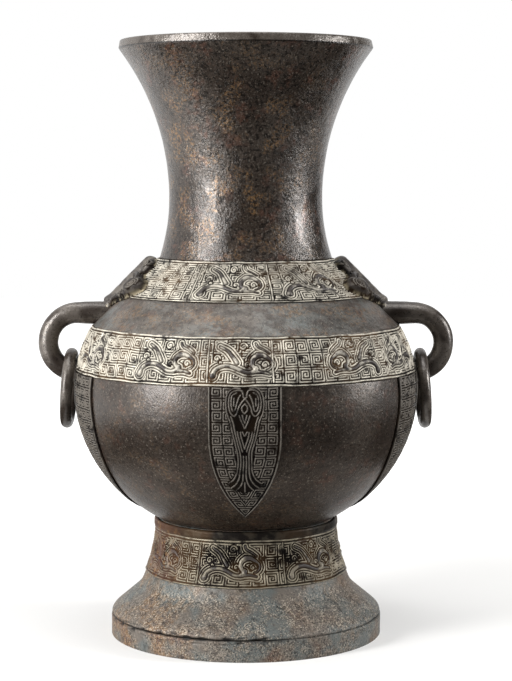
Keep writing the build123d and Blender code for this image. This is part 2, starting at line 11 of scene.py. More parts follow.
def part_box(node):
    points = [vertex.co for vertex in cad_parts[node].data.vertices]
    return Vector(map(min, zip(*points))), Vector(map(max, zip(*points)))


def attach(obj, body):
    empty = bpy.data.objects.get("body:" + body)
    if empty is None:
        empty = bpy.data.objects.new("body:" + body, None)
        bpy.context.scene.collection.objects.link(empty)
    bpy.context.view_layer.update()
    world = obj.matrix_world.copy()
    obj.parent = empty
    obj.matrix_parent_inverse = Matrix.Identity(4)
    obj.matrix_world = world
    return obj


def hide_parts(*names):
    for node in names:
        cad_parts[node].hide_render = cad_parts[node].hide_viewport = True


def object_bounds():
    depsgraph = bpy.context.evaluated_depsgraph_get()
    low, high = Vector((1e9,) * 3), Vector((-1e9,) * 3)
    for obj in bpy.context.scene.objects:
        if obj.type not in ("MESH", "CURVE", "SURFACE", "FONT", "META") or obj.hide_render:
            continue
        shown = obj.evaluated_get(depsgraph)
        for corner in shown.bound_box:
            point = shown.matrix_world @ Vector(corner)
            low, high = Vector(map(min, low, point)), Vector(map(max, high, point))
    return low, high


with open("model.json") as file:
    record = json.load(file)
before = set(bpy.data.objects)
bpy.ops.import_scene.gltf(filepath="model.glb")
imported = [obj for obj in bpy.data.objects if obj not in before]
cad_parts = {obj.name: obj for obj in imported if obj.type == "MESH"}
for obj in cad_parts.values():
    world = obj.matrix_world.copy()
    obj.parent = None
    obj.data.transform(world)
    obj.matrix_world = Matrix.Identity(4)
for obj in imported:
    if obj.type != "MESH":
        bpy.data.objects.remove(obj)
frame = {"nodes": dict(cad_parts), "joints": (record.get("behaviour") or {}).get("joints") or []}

CAD_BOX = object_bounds()
MM = 0.001
# A distance that counts as far away on a drawing
FAR = 1.0
# Where the front faces, in degrees round the axis, and a meridian on which nothing stands on the walls
FRONT = 270
CLEAR_MERIDIAN = math.radians(83)
# Upright edge of the lip: its height, how far it leans in and the bevel on top
LIP_EDGE = 4.3 * MM
LIP_LEAN = 0.8 * MM
LIP_BEVEL = 0.4 * MM

bl_info = {
    "name": "Bronze hu vessel",
    "version": (1, 0, 0),
    "blender": (4, 5, 0),
    "location": "View3D > Sidebar > Hu vessel",
    "description": "Gives the frame of a bronze hu vessel its cast relief, patina and studio",
    "category": "Object",
}


def linear(hex_value):
    """Linear red, green and blue of an sRGB hex colour."""
    channels = [int(hex_value[i:i + 2], 16) / 255 for i in (1, 3, 5)]
    return tuple(c / 12.92 if c <= 0.04045 else ((c + 0.055) / 1.055) ** 2.4 for c in channels)


def length(name, millimetres, description):
    """A size that a user may set, given here in millimetres."""
    return FloatProperty(name=name, description=description, default=millimetres * MM, unit="LENGTH")


def colour(name, hex_value, description):
    """A colour that a user may set, given here as an sRGB hex value."""
    return FloatVectorProperty(
        name=name,
        description=description,
        default=linear(hex_value),
        subtype="COLOR",
        size=3,
        min=0.0,
        max=1.0,
    )


class HuSizes(bpy.types.PropertyGroup):
    """Sizes of the relief and of the cast surface."""

    thread_width: length("Thread width", 0.52, "Width of a raised thread of the ornament")
    thread_pitch: length("Thread pitch", 1.42, "Distance from one thread to the next")
    band_cell: length("Band spiral", 7.7, "Side of a square spiral on the hoops")
    blade_cell: length("Blade spiral", 6.5, "Side of a square spiral on the raised blades")
    foot_collar: length("Foot collar", 4.8, "Plain strip above the ornament of the foot's hoop")
    band_depth: length("Band depth", 0.7, "Depth of the ground below the threads of a hoop")
    blade_depth: length("Blade depth", 0.6, "Depth of the ground below the threads of a blade")
    beast_rise: length("Beast rise", 0.45, "How far the beasts stand above the threads")
    drawing_pitch: length("Drawing pitch", 0.16, "Step of the flat drawing that an ornament is made on")
    relief_step: length("Relief step", 0.34, "Distance between the points of a relief mesh")
    wall_step: length("Wall step", 1.1, "Distance between the points of a plain wall")
    wall_swell: length("Wall swell", 0.16, "Unevenness of the cast walls")
    wall_dimple: length("Wall dimples", 0.05, "Small dimples of the cast walls")
    edge_chip: length("Edge chips", 1.2, "Depth of the seam of the foot and of the chips along it")
    slim_blade_straight: length("Slim blade", 27.5, "Straight length of the front and back blades' sides")
    broad_blade_straight: length("Broad blade", 17.5, "Straight length of the side blades' sides")
    bar_wear: length("Bar wear", 0.14, "How far the handles and rings are worn below their full size")


class HuColours(bpy.types.PropertyGroup):
    """Colours of the patina, the corrosion and the stage."""

    bronze: colour("Bronze", "#332b25", "Dark brown patina of the walls")
    # Besides the patina in hollows, this near-black is painted shade under the lip's arris and on the foot
    # hoop's collar, and partly dirt, partly painted shade in the foot's seam
    bronze_deep: colour("Deep bronze", "#0f0c0a", "Almost black patina in hollows")
    bronze_rubbed: colour("Rubbed bronze", "#665f58", "Paler brown where hands have rubbed")
    ochre: colour("Ochre", "#7d5f3e", "Ochre earth in the patina")
    cuprite: colour("Cuprite", "#583c30", "Red-brown oxide")
    verdigris: colour("Verdigris", "#5b6363", "Blue-grey corrosion")
    # On the upright edge of the lip this grey-brown is partly rubbed wear and partly painted sheen
    crust: colour("Crust", "#665f58", "Dull grey-brown crust of the foot")
    dust: colour("Dust", "#b8ad9d", "Pale mineral crust in pits")
    clay: colour("Clay", "#a59a82", "Pale yellow earth left in the seams of the masks")
    thread_pale: colour("Pale thread", "#ddd6c6", "Pale rubbed threads of the hoops")
    thread_grey: colour("Grey thread", "#746e66", "Grey threads of the blades")
    thread_earthy: colour("Earthy thread", "#9a917e", "Threads of the foot's hoop, dulled by earth")
    beast_dark: colour("Dark beast", "#3f3a37", "Dark bodies of the beasts")
    floor: colour("Floor", "#c4c3c1", "Paper sweep, before its glow to the eye")


# Mesh and noise

def lattice_noise(rng, rows, columns, cells_up, cells_round):
    """Smooth noise from about -1 to 1 on a grid whose columns close on themselves."""
    knots = rng.uniform(-1.0, 1.0, (cells_up + 2, cells_round))
    up = np.linspace(0, cells_up, rows)
    round_ = np.arange(columns) * cells_round / columns
    low = up.astype(int)
    left = round_.astype(int)
    right = (left + 1) % cells_round
    share_up = up - low
    share_up = (share_up**2 * (3 - 2 * share_up))[:, None]
    share_round = round_ - left
    share_round = (share_round**2 * (3 - 2 * share_round))[None, :]
    below = knots[low][:, left] * (1 - share_round) + knots[low][:, right] * share_round
    above = knots[low + 1][:, left] * (1 - share_round) + knots[low + 1][:, right] * share_round
    return below * (1 - share_up) + above * share_up


def smooth_step(low, high, value):
    """0 on the far side of low, 1 on the far side of high and an easy slope between."""
    share = np.clip((value - low) / (high - low), 0.0, 1.0)
    return share * share * (3 - 2 * share)


def loft(name, rings, marks=None, joined=False):
    """Smooth mesh through closed rings of points, capped at its ends or joined end to end."""
    count, around, _ = rings.shape
    ring = np.arange(count if joined else count - 1)[:, None]
    place = np.arange(around)[None, :]
    after = (place + 1) % around
    above = (ring + 1) % count
    corners = (ring * around + place, ring * around + after, above * around + after, above * around + place)
    quads = np.stack(np.broadcast_arrays(*corners), axis=-1).reshape(-1, 4)
    loops = quads.ravel()
    starts = np.arange(len(quads)) * 4
    if not joined:
        bottom = np.arange(around)[::-1]
        top = np.arange(around) + (count - 1) * around
        starts = np.concatenate((starts, [len(loops), len(loops) + around]))
        loops = np.concatenate((loops, bottom, top))
    mesh = bpy.data.meshes.new(name)
    mesh.vertices.add(count * around)
    mesh.vertices.foreach_set("co", rings.astype(np.float32).ravel())
    mesh.loops.add(len(loops))
    mesh.loops.foreach_set("vertex_index", loops.astype(np.int32))
    mesh.polygons.add(len(starts))
    mesh.polygons.foreach_set("loop_start", starts.astype(np.int32))
    mesh.update(calc_edges=True)
    mesh.validate()
    mesh.shade_smooth()
    for mark, values in (marks or {}).items():
        layer = mesh.attributes.new(mark, "FLOAT", "POINT")
        layer.data.foreach_set("value", values.astype(np.float32).ravel())
    piece = bpy.data.objects.new(name, mesh)
    bpy.context.scene.collection.objects.link(piece)
    return piece


def dress(piece, node, body, material):
    """Let a piece stand for its CAD node, ride on its body and wear its finish."""
    piece.data.materials.append(material)
    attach(piece, body)
    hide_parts(node)


# Walls read from the frame

def wall_radius(node, heights, inside=False, turns=CLEAR_MERIDIAN):
    """Radius of a CAD wall at each height, along a meridian, or along one for each height."""
    mesh = frame["nodes"][node].data
    wall = BVHTree.FromPolygons([v.co for v in mesh.vertices], [p.vertices for p in mesh.polygons])
    lowest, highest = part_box(node)
    edge = 0.02 * MM
    radii = []
    for height, turn in zip(heights, np.broadcast_to(turns, len(heights))):
        meridian = Vector((math.cos(turn), math.sin(turn), 0))
        outside = meridian * CAD_BOX[1].z
        level = Vector((0, 0, min(max(height, lowest.z + edge), highest.z - edge)))
        start, way = (level, meridian) if inside else (level + outside, -meridian)
        point = wall.ray_cast(start, way)[0]
        if point is None:
            raise RuntimeError(f"no wall of {node} at height {height}")
        radii.append(math.hypot(point.x, point.y))
    return np.array(radii)


def steps_between(breaks, step):
    """Heights from break to break, with a pair of points on each side of every break."""
    edge = 0.03 * MM
    heights = []
    for low, high in zip(breaks[:-1], breaks[1:]):
        count = max(2, round((high - low) / step) + 1)
        heights.append(np.linspace(low + edge, high - edge, count))
    return np.concatenate(heights)


def eased(values, reach):
    """A line of values with its facets smoothed away."""
    padded = np.pad(values, reach, mode="reflect", reflect_type="odd")
    return np.convolve(padded, np.ones(2 * reach + 1) / (2 * reach + 1), mode="valid")


def circles(radii, heights, columns):
    """Rings of points round the axis of the vessel."""
    turn = np.arange(columns) * math.tau / columns
    radii = np.broadcast_to(radii if radii.ndim == 2 else radii[:, None], (len(heights), columns))
    up = np.broadcast_to(np.asarray(heights)[:, None] if np.ndim(heights) == 1 else heights, radii.shape)
    return np.stack((radii * np.cos(turn), radii * np.sin(turn), up), axis=-1)


def upright_lip(heights, radii, lip, bevel_from):
    """Radii of the neck with its flare carried on to a crisp arris, under an edge that leans in."""
    fit_from, fit_to = 16 * MM, 5 * MM
    below = (heights > lip - fit_from) & (heights < lip - fit_to)
    flare = np.polyfit(heights[below], radii[below], 2)
    under = (heights > lip - fit_to) & (heights < lip)
    widest = radii.max()
    radii[under] = np.minimum(np.polyval(flare, heights[under]), widest)
    lean = LIP_LEAN * np.clip(heights - lip, 0, None) / LIP_EDGE
    bevel = np.clip(heights - bevel_from, 0, None)
    return np.where(heights > lip, widest - lean - bevel, radii)


def chipped_seam(rng, heights, columns, seam_height):
    """Share of an open seam at each point of a wall: a thin line, with chips along some stretches."""
    line_reach, line_core = 0.8 * MM, 0.2 * MM
    chip_reach, chip_core = 3.4 * MM, 1.0 * MM
    closed_line = 0.4
    rows = len(heights)
    away = np.abs(heights - seam_height)[:, None]
    chips = smooth_step(0.1, 0.6, lattice_noise(rng, rows, columns, 2 * rows // 3, columns // 4))
    stretch = smooth_step(-0.4, 0.4, lattice_noise(rng, rows, columns, 1, 7))
    line = smooth_step(line_reach, line_core, away) * (closed_line + (1 - closed_line) * stretch)
    return np.maximum(line, smooth_step(chip_reach, chip_core, away) * chips * stretch)


def plain_wall(name, node, breaks, columns, rng, seam_height=None, lip=None):
    """Cast wall turned from its CAD node, uneven outside, with any chipped seam and any upright lip."""
    sizes = bpy.context.scene.hu_sizes
    outer_step = sizes.wall_step if seam_height is None else sizes.wall_step / 2
    inner_step = 3 * sizes.wall_step
    smoothing = 3
    calm_edge = 4 * MM
    swell_tall, swell_wide, dimple_wide = 22 * MM, 26 * MM, 4 * MM
    outer_heights = steps_between(breaks, outer_step)
    inner_heights = steps_between([breaks[-1], breaks[0]], -inner_step)
    outer = wall_radius(node, outer_heights)
    for low, high in zip(breaks[:-1], breaks[1:]):
        run = (outer_heights > low) & (outer_heights < high)
        outer[run] = eased(outer[run], min(smoothing, (run.sum() - 1) // 3))
    if lip is not None:
        outer = upright_lip(outer_heights, outer, lip, breaks[-2])
    inner = wall_radius(node, inner_heights, inside=True)
    rows = len(outer)
    fade = np.minimum(outer_heights - breaks[0], breaks[-1] - outer_heights)
    fade = smooth_step(0, calm_edge, fade)[:, None]
    tall = breaks[-1] - breaks[0]
    wide = math.tau * outer.mean()
    swell = lattice_noise(rng, rows, columns, round(tall / swell_tall) + 1, round(wide / swell_wide))
    dimple = lattice_noise(rng, rows, columns, round(tall / dimple_wide), round(wide / dimple_wide))
    outside = outer[:, None] + fade * (sizes.wall_swell * swell + sizes.wall_dimple * dimple)
    marks = None
    if seam_height is not None:
        seam = chipped_seam(rng, outer_heights, columns, seam_height)
        outside = outside - sizes.edge_chip * seam
        # The seam's share is kept as a mark, which the foot's finish paints near-black, partly as dirt in the
        # crack and partly as painted shade in its groove
        marks = {"seam": np.concatenate((seam, np.zeros((len(inner), columns))))}
    radii = np.concatenate((outside, np.repeat(inner[:, None], columns, 1)))
    heights = np.concatenate((outer_heights, inner_heights))
    return loft(name, circles(radii, heights, columns), marks, joined=True)


# Flat drawings of the ornament

def curve(points, steps=6):
    """Points of a smooth line through a few points."""
    points = [np.array(point) for point in points]
    ends = [2 * points[0] - points[1], *points, 2 * points[-1] - points[-2]]
    line = []
    for before, start, stop, after in zip(ends, ends[1:], ends[2:], ends[3:]):
        for share in np.arange(steps) / steps:
            line.append(
                start
                + share * (stop - before) / 2
                + share**2 * (before - 2.5 * start + 2 * stop - after / 2)
                + share**3 * (1.5 * start - before / 2 - 1.5 * stop + after / 2)
            )
    return np.array([*line, ends[-2]])


def square_spiral(width, height, pitch):
    """Corners of a square spiral that winds inward from its lower left corner."""
    x, y, way, shrink = 0.0, height, -1, pitch
    points = [(0.0, 0.0), (width, 0.0), (width, height), (x, y)]
    while shrink < min(width, height) - 0.2 * pitch:
        y += way * (height - shrink)
        points.append((x, y))
        x -= way * (width - shrink)
        points.append((x, y))
        way = -way
        shrink += pitch
    return np.array(points)


def round_spiral(radius, pitch, stretch=1.0):
    """Points of a round spiral that winds inward to its centre."""
    turns = radius / pitch
    turn = np.linspace(0, math.tau * turns, round(14 * turns) + 2)
    reach = radius * (1 - turn / turn[-1])
    return np.stack((reach * np.cos(turn), stretch * reach * np.sin(turn)), axis=-1)


class Drawing:
    """Flat sheet that keeps, at each of its points, the distance to the threads and beasts on it."""

    def __init__(self, width, height, pitch):
        self.pitch = pitch
        self.x = np.arange(0, width + 2 * pitch, pitch)
        self.y = np.arange(0, height + 2 * pitch, pitch)
        self.layers = {}
        self.reach = {"thread": 1.2 * MM, "beast": 5 * MM, "curl": 1.2 * MM}

    def layer(self, name):
        """Distances of one layer, far away where nothing is drawn yet."""
        return self.layers.setdefault(name, np.full((len(self.y), len(self.x)), FAR))

    def draw(self, name, line, start_width, end_width=None):
        """Draw a line whose width tapers from its start to its end."""
        sheet = self.layer(name)
        line = np.asarray(line)
        widths = np.linspace(start_width, start_width if end_width is None else end_width, len(line)) / 2
        for start, stop, first, last in zip(line[:-1], line[1:], widths[:-1], widths[1:]):
            margin = self.reach[name] + max(first, last)
            low = np.minimum(start, stop) - margin
            high = np.maximum(start, stop) + margin
            columns = slice(*np.searchsorted(self.x, (low[0], high[0])))
            rows = slice(*np.searchsorted(self.y, (low[1], high[1])))
            dx = self.x[columns][None, :] - start[0]
            dy = self.y[rows][:, None] - start[1]
            along = stop - start
            share = np.clip((dx * along[0] + dy * along[1]) / max(along @ along, 1e-16), 0, 1)
            gap = np.hypot(dx - share * along[0], dy - share * along[1]) - (first + share * (last - first))
            sheet[rows, columns] = np.minimum(sheet[rows, columns], gap)

    def outline_beasts(self, width, gap, pitch, count):
        """Swap the threads near the beasts for threads that run round them."""
        beast = self.layer("beast")
        near = np.full(beast.shape, FAR)
        for ring in range(count):
            near = np.minimum(near, np.abs(beast - gap - ring * pitch) - width / 2)
        inner = beast < gap + (count - 0.5) * pitch
        self.layers["thread"] = np.where(inner, near, self.layer("thread"))
        curl = self.layer("curl")
        self.layers["thread"] = np.where(curl < 0.6 * pitch, curl, self.layers["thread"])

    def sample(self, name, x, y):
        """Distances of one layer at given places."""
        sheet = self.layer(name)
        # A little over one, so that the next column and row are on the sheet too
        room = 1.001
        column = np.clip(x / self.pitch, 0, len(self.x) - room)
        row = np.clip(y / self.pitch, 0, len(self.y) - room)
        left = column.astype(int)
        low = row.astype(int)
        share = column - left
        rise = row - low
        below = sheet[low, left] * (1 - share) + sheet[low, left + 1] * share
        above = sheet[low + 1, left] * (1 - share) + sheet[low + 1, left + 1] * share
        return below * (1 - rise) + above * rise


def spirals(drawing, left, low, columns, rows, cell_width, cell_height, rng):
    """Fill a field with square spirals, each turned its own way."""
    sizes = bpy.context.scene.hu_sizes
    gap = sizes.thread_pitch
    spiral = square_spiral(cell_width - gap, cell_height - gap, gap)
    spiral = spiral - spiral.max(axis=0) / 2
    for row in range(rows):
        for column in range(columns):
            turned = spiral * rng.choice((-1, 1), 2)
            centre = (left + (column + 0.5) * cell_width, low + (row + 0.5) * cell_height)
            drawing.draw("thread", turned + centre, sizes.thread_width)


# A running beast, in millimetres from the lower left of its panel: points, then widths at both ends
BEAST_STROKES = (
    (((6.8, 21.2), (11.4, 18.6), (14.0, 15.2), (16.4, 11.6)), 0.5, 1.7),
    (((2.9, 4.4), (4.0, 7.2), (7.3, 9.3), (11.7, 9.8), (16.1, 8.7), (21.0, 6.6), (26.0, 6.2)), 2.2, 1.4),
    (((3.2, 5.2), (2.9, 4.2)), 2.6, 3.0),
    (((24.8, 6.4), (26.6, 7.0), (27.2, 8.2)), 2.0, 3.0),
    (((26.8, 8.2), (25.0, 10.6), (25.4, 13.6), (28.0, 15.8)), 1.5, 2.8),
    (((28.0, 15.8), (31.2, 15.7), (34.0, 14.2), (36.0, 12.9)), 2.8, 0.8),
    (((27.4, 6.4), (31.0, 6.2), (34.6, 5.2)), 1.4, 0.6),
    (((36.0, 13.0), (36.6, 10.4), (35.2, 8.2), (33.4, 7.4)), 0.8, 0.4),
    (((27.6, 22.6), (28.6, 20.6), (32.0, 18.8), (34.8, 16.9)), 0.8, 0.4),
)
BEAST_CURLS = ((20.0, 20.8, 2.4), (32.4, 10.6, 2.0), (22.2, 10.6, 1.6), (5.4, 14.2, 2.0), (7.0, 11.6, 0.9))
BEAST_LENGTH = 37.0


def draw_beast(drawing, left, low, scale, facing):
    """A beast of the hoops, drawn at a scale, facing right or left."""
    sizes = bpy.context.scene.hu_sizes

    def placed(points):
        across, up = np.asarray(points, float).T * MM
        across = across if facing > 0 else BEAST_LENGTH * MM - across
        return np.stack((left + across * scale[0], low + up * scale[1]), axis=-1)

    for points, start, stop in BEAST_STROKES:
        drawing.draw("beast", placed(curve(points)), start * MM, stop * MM)
    for across, up, radius in BEAST_CURLS:
        centre = placed([(across, up)])[0]
        spiral = round_spiral(radius * MM, sizes.thread_pitch)
        drawing.draw("curl", centre + spiral * (facing * scale[0], scale[1]), sizes.thread_width)


def hoop_drawing(circumference, height, beasts, dividers, beast_scale, collar, rng):
    """Ornament of a hoop, unrolled: borders, square spirals, dividers, running beasts and a plain collar."""
    sizes = bpy.context.scene.hu_sizes
    border = 1.7 * MM
    edge_line, edge_room = 0.6 * MM, 1.2 * MM
    beast_gap, beast_outlines = 0.95 * MM, 2
    divider_room = 0.65 * sizes.thread_pitch

    def along(angle):
        return ((FRONT + angle) % 360) * circumference / 360

    drawing = Drawing(circumference, height, sizes.drawing_pitch)
    if collar:
        drawing.draw("beast", [(0, height - collar / 2), (circumference, height - collar / 2)], collar)
        height -= collar
    columns = round(circumference / sizes.band_cell)
    rows = round((height - 2 * border) / sizes.band_cell)
    spirals(drawing, 0, border, columns, rows, circumference / columns, (height - 2 * border) / rows, rng)
    for angle, facing in beasts:
        left = along(angle) - BEAST_LENGTH * MM * beast_scale[0] / 2
        draw_beast(drawing, left, border, beast_scale, facing)
    drawing.outline_beasts(sizes.thread_width, beast_gap, sizes.thread_pitch, beast_outlines)
    for angle in dividers:
        at = along(angle)
        drawing.layers["thread"][:, np.abs(drawing.x - at) < divider_room] = FAR
        drawing.draw("thread", [(at, 0), (at, height)], sizes.thread_width)
    for level in (edge_line, height - edge_line):
        drawing.layers["thread"][np.abs(drawing.y - level) < edge_room] = FAR
        drawing.draw("thread", [(0, level), (circumference, level)], edge_line)
    return drawing


def relief_of(thread, beast, depth, rise):
    """Height over the threads' tops, and the shares of thread and beast, from their distances."""
    soft = 0.32 * MM
    crown = 1.3 * MM
    thread_share = smooth_step(soft, -soft, thread)
    beast_share = smooth_step(soft, -soft, beast)
    dome = rise * smooth_step(0, crown, -beast)
    height = dome - depth * (1 - np.maximum(thread_share, beast_share))
    return height, thread_share * (1 - beast_share), beast_share


def hoop(name, node, beasts, dividers, beast_scale, collar, seed):
    """Relief hoop on the face of its CAD node, with a plain back."""
    sizes = bpy.context.scene.hu_sizes
    rng = np.random.default_rng(seed)
    probes, smoothing = 60, 2
    wobble, wobble_tall, wobble_columns = 0.35 * MM, 9 * MM, 30
    wear, wear_tall, wear_columns = 0.105 * MM, 3 * MM, 9
    collar_blend, painted_shade_collar_share = 0.5 * MM, 0.12
    thickness = 1.9 * MM
    lowest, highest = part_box(node)
    heights = np.linspace(lowest.z, highest.z, probes)
    face_meridian = math.radians(FRONT + dividers[0])
    radii = eased(wall_radius(node, heights, turns=face_meridian), smoothing)
    travel = np.concatenate(([0], np.cumsum(np.hypot(np.diff(radii), np.diff(heights)))))
    tall = travel[-1]
    circumference = math.tau * radii.mean()
    columns = round(circumference / sizes.relief_step)
    rows = round(tall / sizes.relief_step)
    up = np.linspace(0, tall, rows)
    face_z = np.interp(up, travel, heights)
    face_r = np.interp(up, travel, radii)
    slope = np.arctan2(np.gradient(face_z), np.gradient(face_r))
    normal_r = np.sin(slope)[:, None]
    normal_z = -np.cos(slope)[:, None]
    drawing = hoop_drawing(circumference, tall, beasts, dividers, beast_scale, collar, rng)
    across, upward = np.meshgrid(np.arange(columns) * circumference / columns, up)
    wobble_cells = (max(2, round(tall / wobble_tall)), columns // wobble_columns)
    wear_cells = (max(2, round(tall / wear_tall)), columns // wear_columns)
    place_x = across + wobble * lattice_noise(rng, rows, columns, *wobble_cells)
    place_y = upward + wobble * lattice_noise(rng, rows, columns, *wobble_cells)
    thread = drawing.sample("thread", place_x, place_y)
    thread += wear * lattice_noise(rng, rows, columns, *wear_cells)
    beast = drawing.sample("beast", place_x, place_y)
    relief, thread_share, beast_share = relief_of(thread, beast, sizes.band_depth, sizes.beast_rise)
    # The collar under the belly's overhang keeps only a small share of the beast colour, so it shows the
    # near-black ground: painted shade under the belly
    on_collar = upward > tall - collar - collar_blend
    beast_share = np.where(on_collar, painted_shade_collar_share * beast_share, beast_share)
    radius = face_r[:, None] + relief * normal_r
    level = np.clip(face_z[:, None] + relief * normal_z, lowest.z, highest.z)
    back_r = (face_r - thickness * normal_r[:, 0])[[-1, 0]]
    back_z = np.clip((face_z - thickness * normal_z[:, 0])[[-1, 0]], lowest.z, highest.z)
    radius = np.concatenate((radius, np.repeat(back_r[:, None], columns, 1)))
    level = np.concatenate((level, np.repeat(back_z[:, None], columns, 1)))
    blank = np.zeros((2, columns))
    marks = {"thread": np.concatenate((thread_share, blank)), "beast": np.concatenate((beast_share, blank))}
    return loft(name, circles(radius, level, columns), marks, joined=True)


def plaque(name, front, back, marks):
    """Closed plate between a front and a back, both given as rows of points from its low end up."""
    blank = np.zeros(back.shape[:2])
    marks = {mark: np.concatenate((values, blank), axis=1) for mark, values in marks.items()}
    return loft(name, np.concatenate((front, back[:, ::-1]), axis=1), marks)


# Cicada figure of the blades, in millimetres from its middle and down from the top: one half
CICADA_LINES = (
    ((2.6, 0.6), (6.2, 0.5), (9.4, 3.4), (10.4, 8.4), (9.7, 14.0), (8.1, 18.5), (7.2, 23.5), (5.4, 31.0),
     (4.0, 37.0), (3.9, 45.0), (4.6, 49.0), (6.4, 52.4), (9.2, 54.8)),
    ((7.4, 16.2), (6.5, 19.5), (5.8, 23.5), (4.0, 31.0),
     (2.5, 37.0), (2.4, 45.5), (3.0, 51.0), (5.0, 55.0), (7.6, 57.4)),
    ((0.9, 4.4), (1.8, 1.9), (4.6, 1.6), (7.6, 3.3), (8.9, 8.2), (8.0, 13.2), (5.8, 15.8),
     (4.0, 14.2), (3.2, 11.0), (1.4, 7.8), (-1.0, 5.2)),
    ((4.6, 3.0), (7.0, 4.8), (7.5, 9.2), (6.4, 13.0), (5.0, 12.4), (4.4, 9.0), (3.4, 6.0), (2.4, 4.2)),
    ((5.9, 6.0), (6.0, 10.2)),
    ((0.0, 9.0), (1.4, 10.8), (1.3, 12.8), (0.0, 14.4)),
    ((1.2, 15.4), (0.8, 17.4), (0.0, 19.6)),
    ((2.8, 15.6), (2.1, 18.2), (0.2, 22.6)),
    ((4.3, 24.6), (3.4, 28.4), (1.2, 35.6)),
    ((2.5, 24.8), (1.9, 28.0), (0.0, 34.0)),
    ((0.2, 26.6), (1.4, 24.6)),
    ((0.8, 38.4), (0.8, 46.0), (1.0, 52.0), (2.4, 56.0), (5.0, 59.2)),
    ((0.0, 54.0), (0.0, 60.0)),
)
CICADA_DROP = (0.0, 4.0, 9.0, 14.0, 18.0, 23.0, 31.0, 36.5, 46.0, 50.0, 54.0, 57.0, 59.0, 61.0, 90.0)
CICADA_HALF = (7.0, 10.4, 11.1, 10.5, 9.1, 8.2, 6.2, 4.8, 4.7, 6.0, 9.6, 8.4, 5.2, 0.0, 0.0)
CICADA_REACH = 13.0
CICADA_BLADE = (20.3, 77.5)


def cicada_drawing(scale, tall):
    """The cicada figure, both halves, on a sheet whose middle is its own and whose top is the blade's."""
    sizes = bpy.context.scene.hu_sizes
    reach = CICADA_REACH * MM * scale[0]
    drawing = Drawing(2 * reach, tall, sizes.drawing_pitch)
    for line in map(curve, CICADA_LINES):
        for side in (1, -1):
            placed = np.stack(
                (reach + side * line[:, 0] * MM * scale[0], tall - line[:, 1] * MM * scale[1]), axis=-1
            )
            drawing.draw("thread", placed, sizes.thread_width)
    return drawing


def blade(name, node, facing, half, straight, seed):
    """Raised blade of the belly, with its border, its square spirals and its cicada figure."""
    sizes = bpy.context.scene.hu_sizes
    rng = np.random.default_rng(seed)
    tip_trim = 0.4 * MM
    rows_per_step, probe_share, smoothing = 1.3, 0.45, 4
    border = 1.9 * MM
    widest_figure = 1.4
    edge_inset, edge_room, edge_half = 0.03 * half, 1.1 * MM, 0.28 * MM
    wobble, wobble_tall, wobble_wide = 0.3 * MM, 7 * MM, 4 * MM
    thickness, back_columns = 1.5 * MM, 9
    lowest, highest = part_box(node)
    tall = highest.z - lowest.z
    rows = round(rows_per_step * tall / sizes.relief_step)
    columns = round(2 * half / sizes.relief_step)
    drop = np.linspace(tall - tip_trim, 0, rows)
    arch = (half**2 + (tall - straight) ** 2) / (2 * half)
    past = np.clip(drop - straight, 0, None)
    chord = np.sqrt(arch**2 - past**2)
    width = half - arch + chord
    heights = highest.z - drop
    turns = facing + probe_share * width / highest_reach(node)
    radius = eased(wall_radius(node, heights, turns=turns), smoothing)
    across = np.linspace(-1, 1, columns)[None, :] * width[:, None]
    inward = width[:, None] - np.abs(across)
    edge = inward * (chord / arch)[:, None]
    field = Drawing(2 * half, tall, sizes.drawing_pitch)
    cells = 2 * round((half - border) / sizes.blade_cell)
    levels = round((tall - border) / sizes.blade_cell)
    spirals(field, border, 0, cells, levels, 2 * (half - border) / cells, tall / levels, rng)
    scale = (min(half / (CICADA_BLADE[0] * MM), widest_figure), tall / (CICADA_BLADE[1] * MM))
    figure = cicada_drawing(scale, tall)
    upward = np.repeat((tall - drop)[:, None], columns, 1)
    wobble_cells = (max(2, round(tall / wobble_tall)), max(3, round(half / wobble_wide)))
    sway = wobble * lattice_noise(rng, rows, columns, *wobble_cells)
    lift = wobble * lattice_noise(rng, rows, columns, *wobble_cells)
    field_x = half + np.sign(across) * (half - inward)
    thread = field.sample("thread", field_x + sway, upward + lift)
    figure_half = np.interp(drop / scale[1] / MM, CICADA_DROP, CICADA_HALF)[:, None] * MM * scale[0]
    figure_x = across + CICADA_REACH * MM * scale[0] + sway
    thread = np.where(np.abs(across) < figure_half, figure.sample("thread", figure_x, upward + lift), thread)
    thread = np.where(edge < edge_inset + edge_room, np.abs(edge - edge_inset) - edge_half, thread)
    relief, thread_share, _ = relief_of(thread, np.full(thread.shape, FAR), sizes.blade_depth, 0)
    azimuth = facing + np.arcsin(across / radius[:, None])
    face = radius[:, None] + relief
    level = np.repeat(heights[:, None], columns, 1)
    front = np.stack((face * np.cos(azimuth), face * np.sin(azimuth), level), axis=-1)
    few = np.linspace(0, columns - 1, back_columns).astype(int)
    rear = radius[:, None] - thickness
    back = np.stack((rear * np.cos(azimuth), rear * np.sin(azimuth), level), axis=-1)[:, few]
    marks = {"thread": thread_share, "beast": np.zeros(thread.shape)}
    return plaque(name, front, back, marks)


def highest_reach(node):
    """Largest distance of a node from the axis of the vessel, along X or Y."""
    lowest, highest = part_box(node)
    return max(highest.x, highest.y, -lowest.x, -lowest.y)


# Half outline of a beast mask, in millimetres: rise up the slope, then half width
MASK_RISE = (-12.5, -8.6, -4.8, -1.6, 2.0, 6.5, 11.0, 14.4, 16.2, 17.6, 20.0, 23.5, 27.0, 29.4)
MASK_HALF = (4.6, 7.4, 14.0, 25.0, 34.0, 37.8, 35.4, 29.0, 22.0, 20.0, 20.4, 20.8, 17.5, 11.0)
# Lumps of a mask: across, rise, radius, height of the middle over the plate
MASK_LUMPS = (
    (29.5, 6.5, 8.0, 4.2),
    (14.8, 23.2, 6.2, 2.4),
    (14.0, 8.0, 4.6, 2.6),
    (20.0, 0.4, 6.0, 2.2),
    (9.6, -4.6, 4.2, 1.6),
    (4.6, -9.2, 3.8, 1.8),
)
MASK_BROW = ((6.4, 13.2), (11.0, 15.4), (17.0, 14.6), (22.6, 11.0))
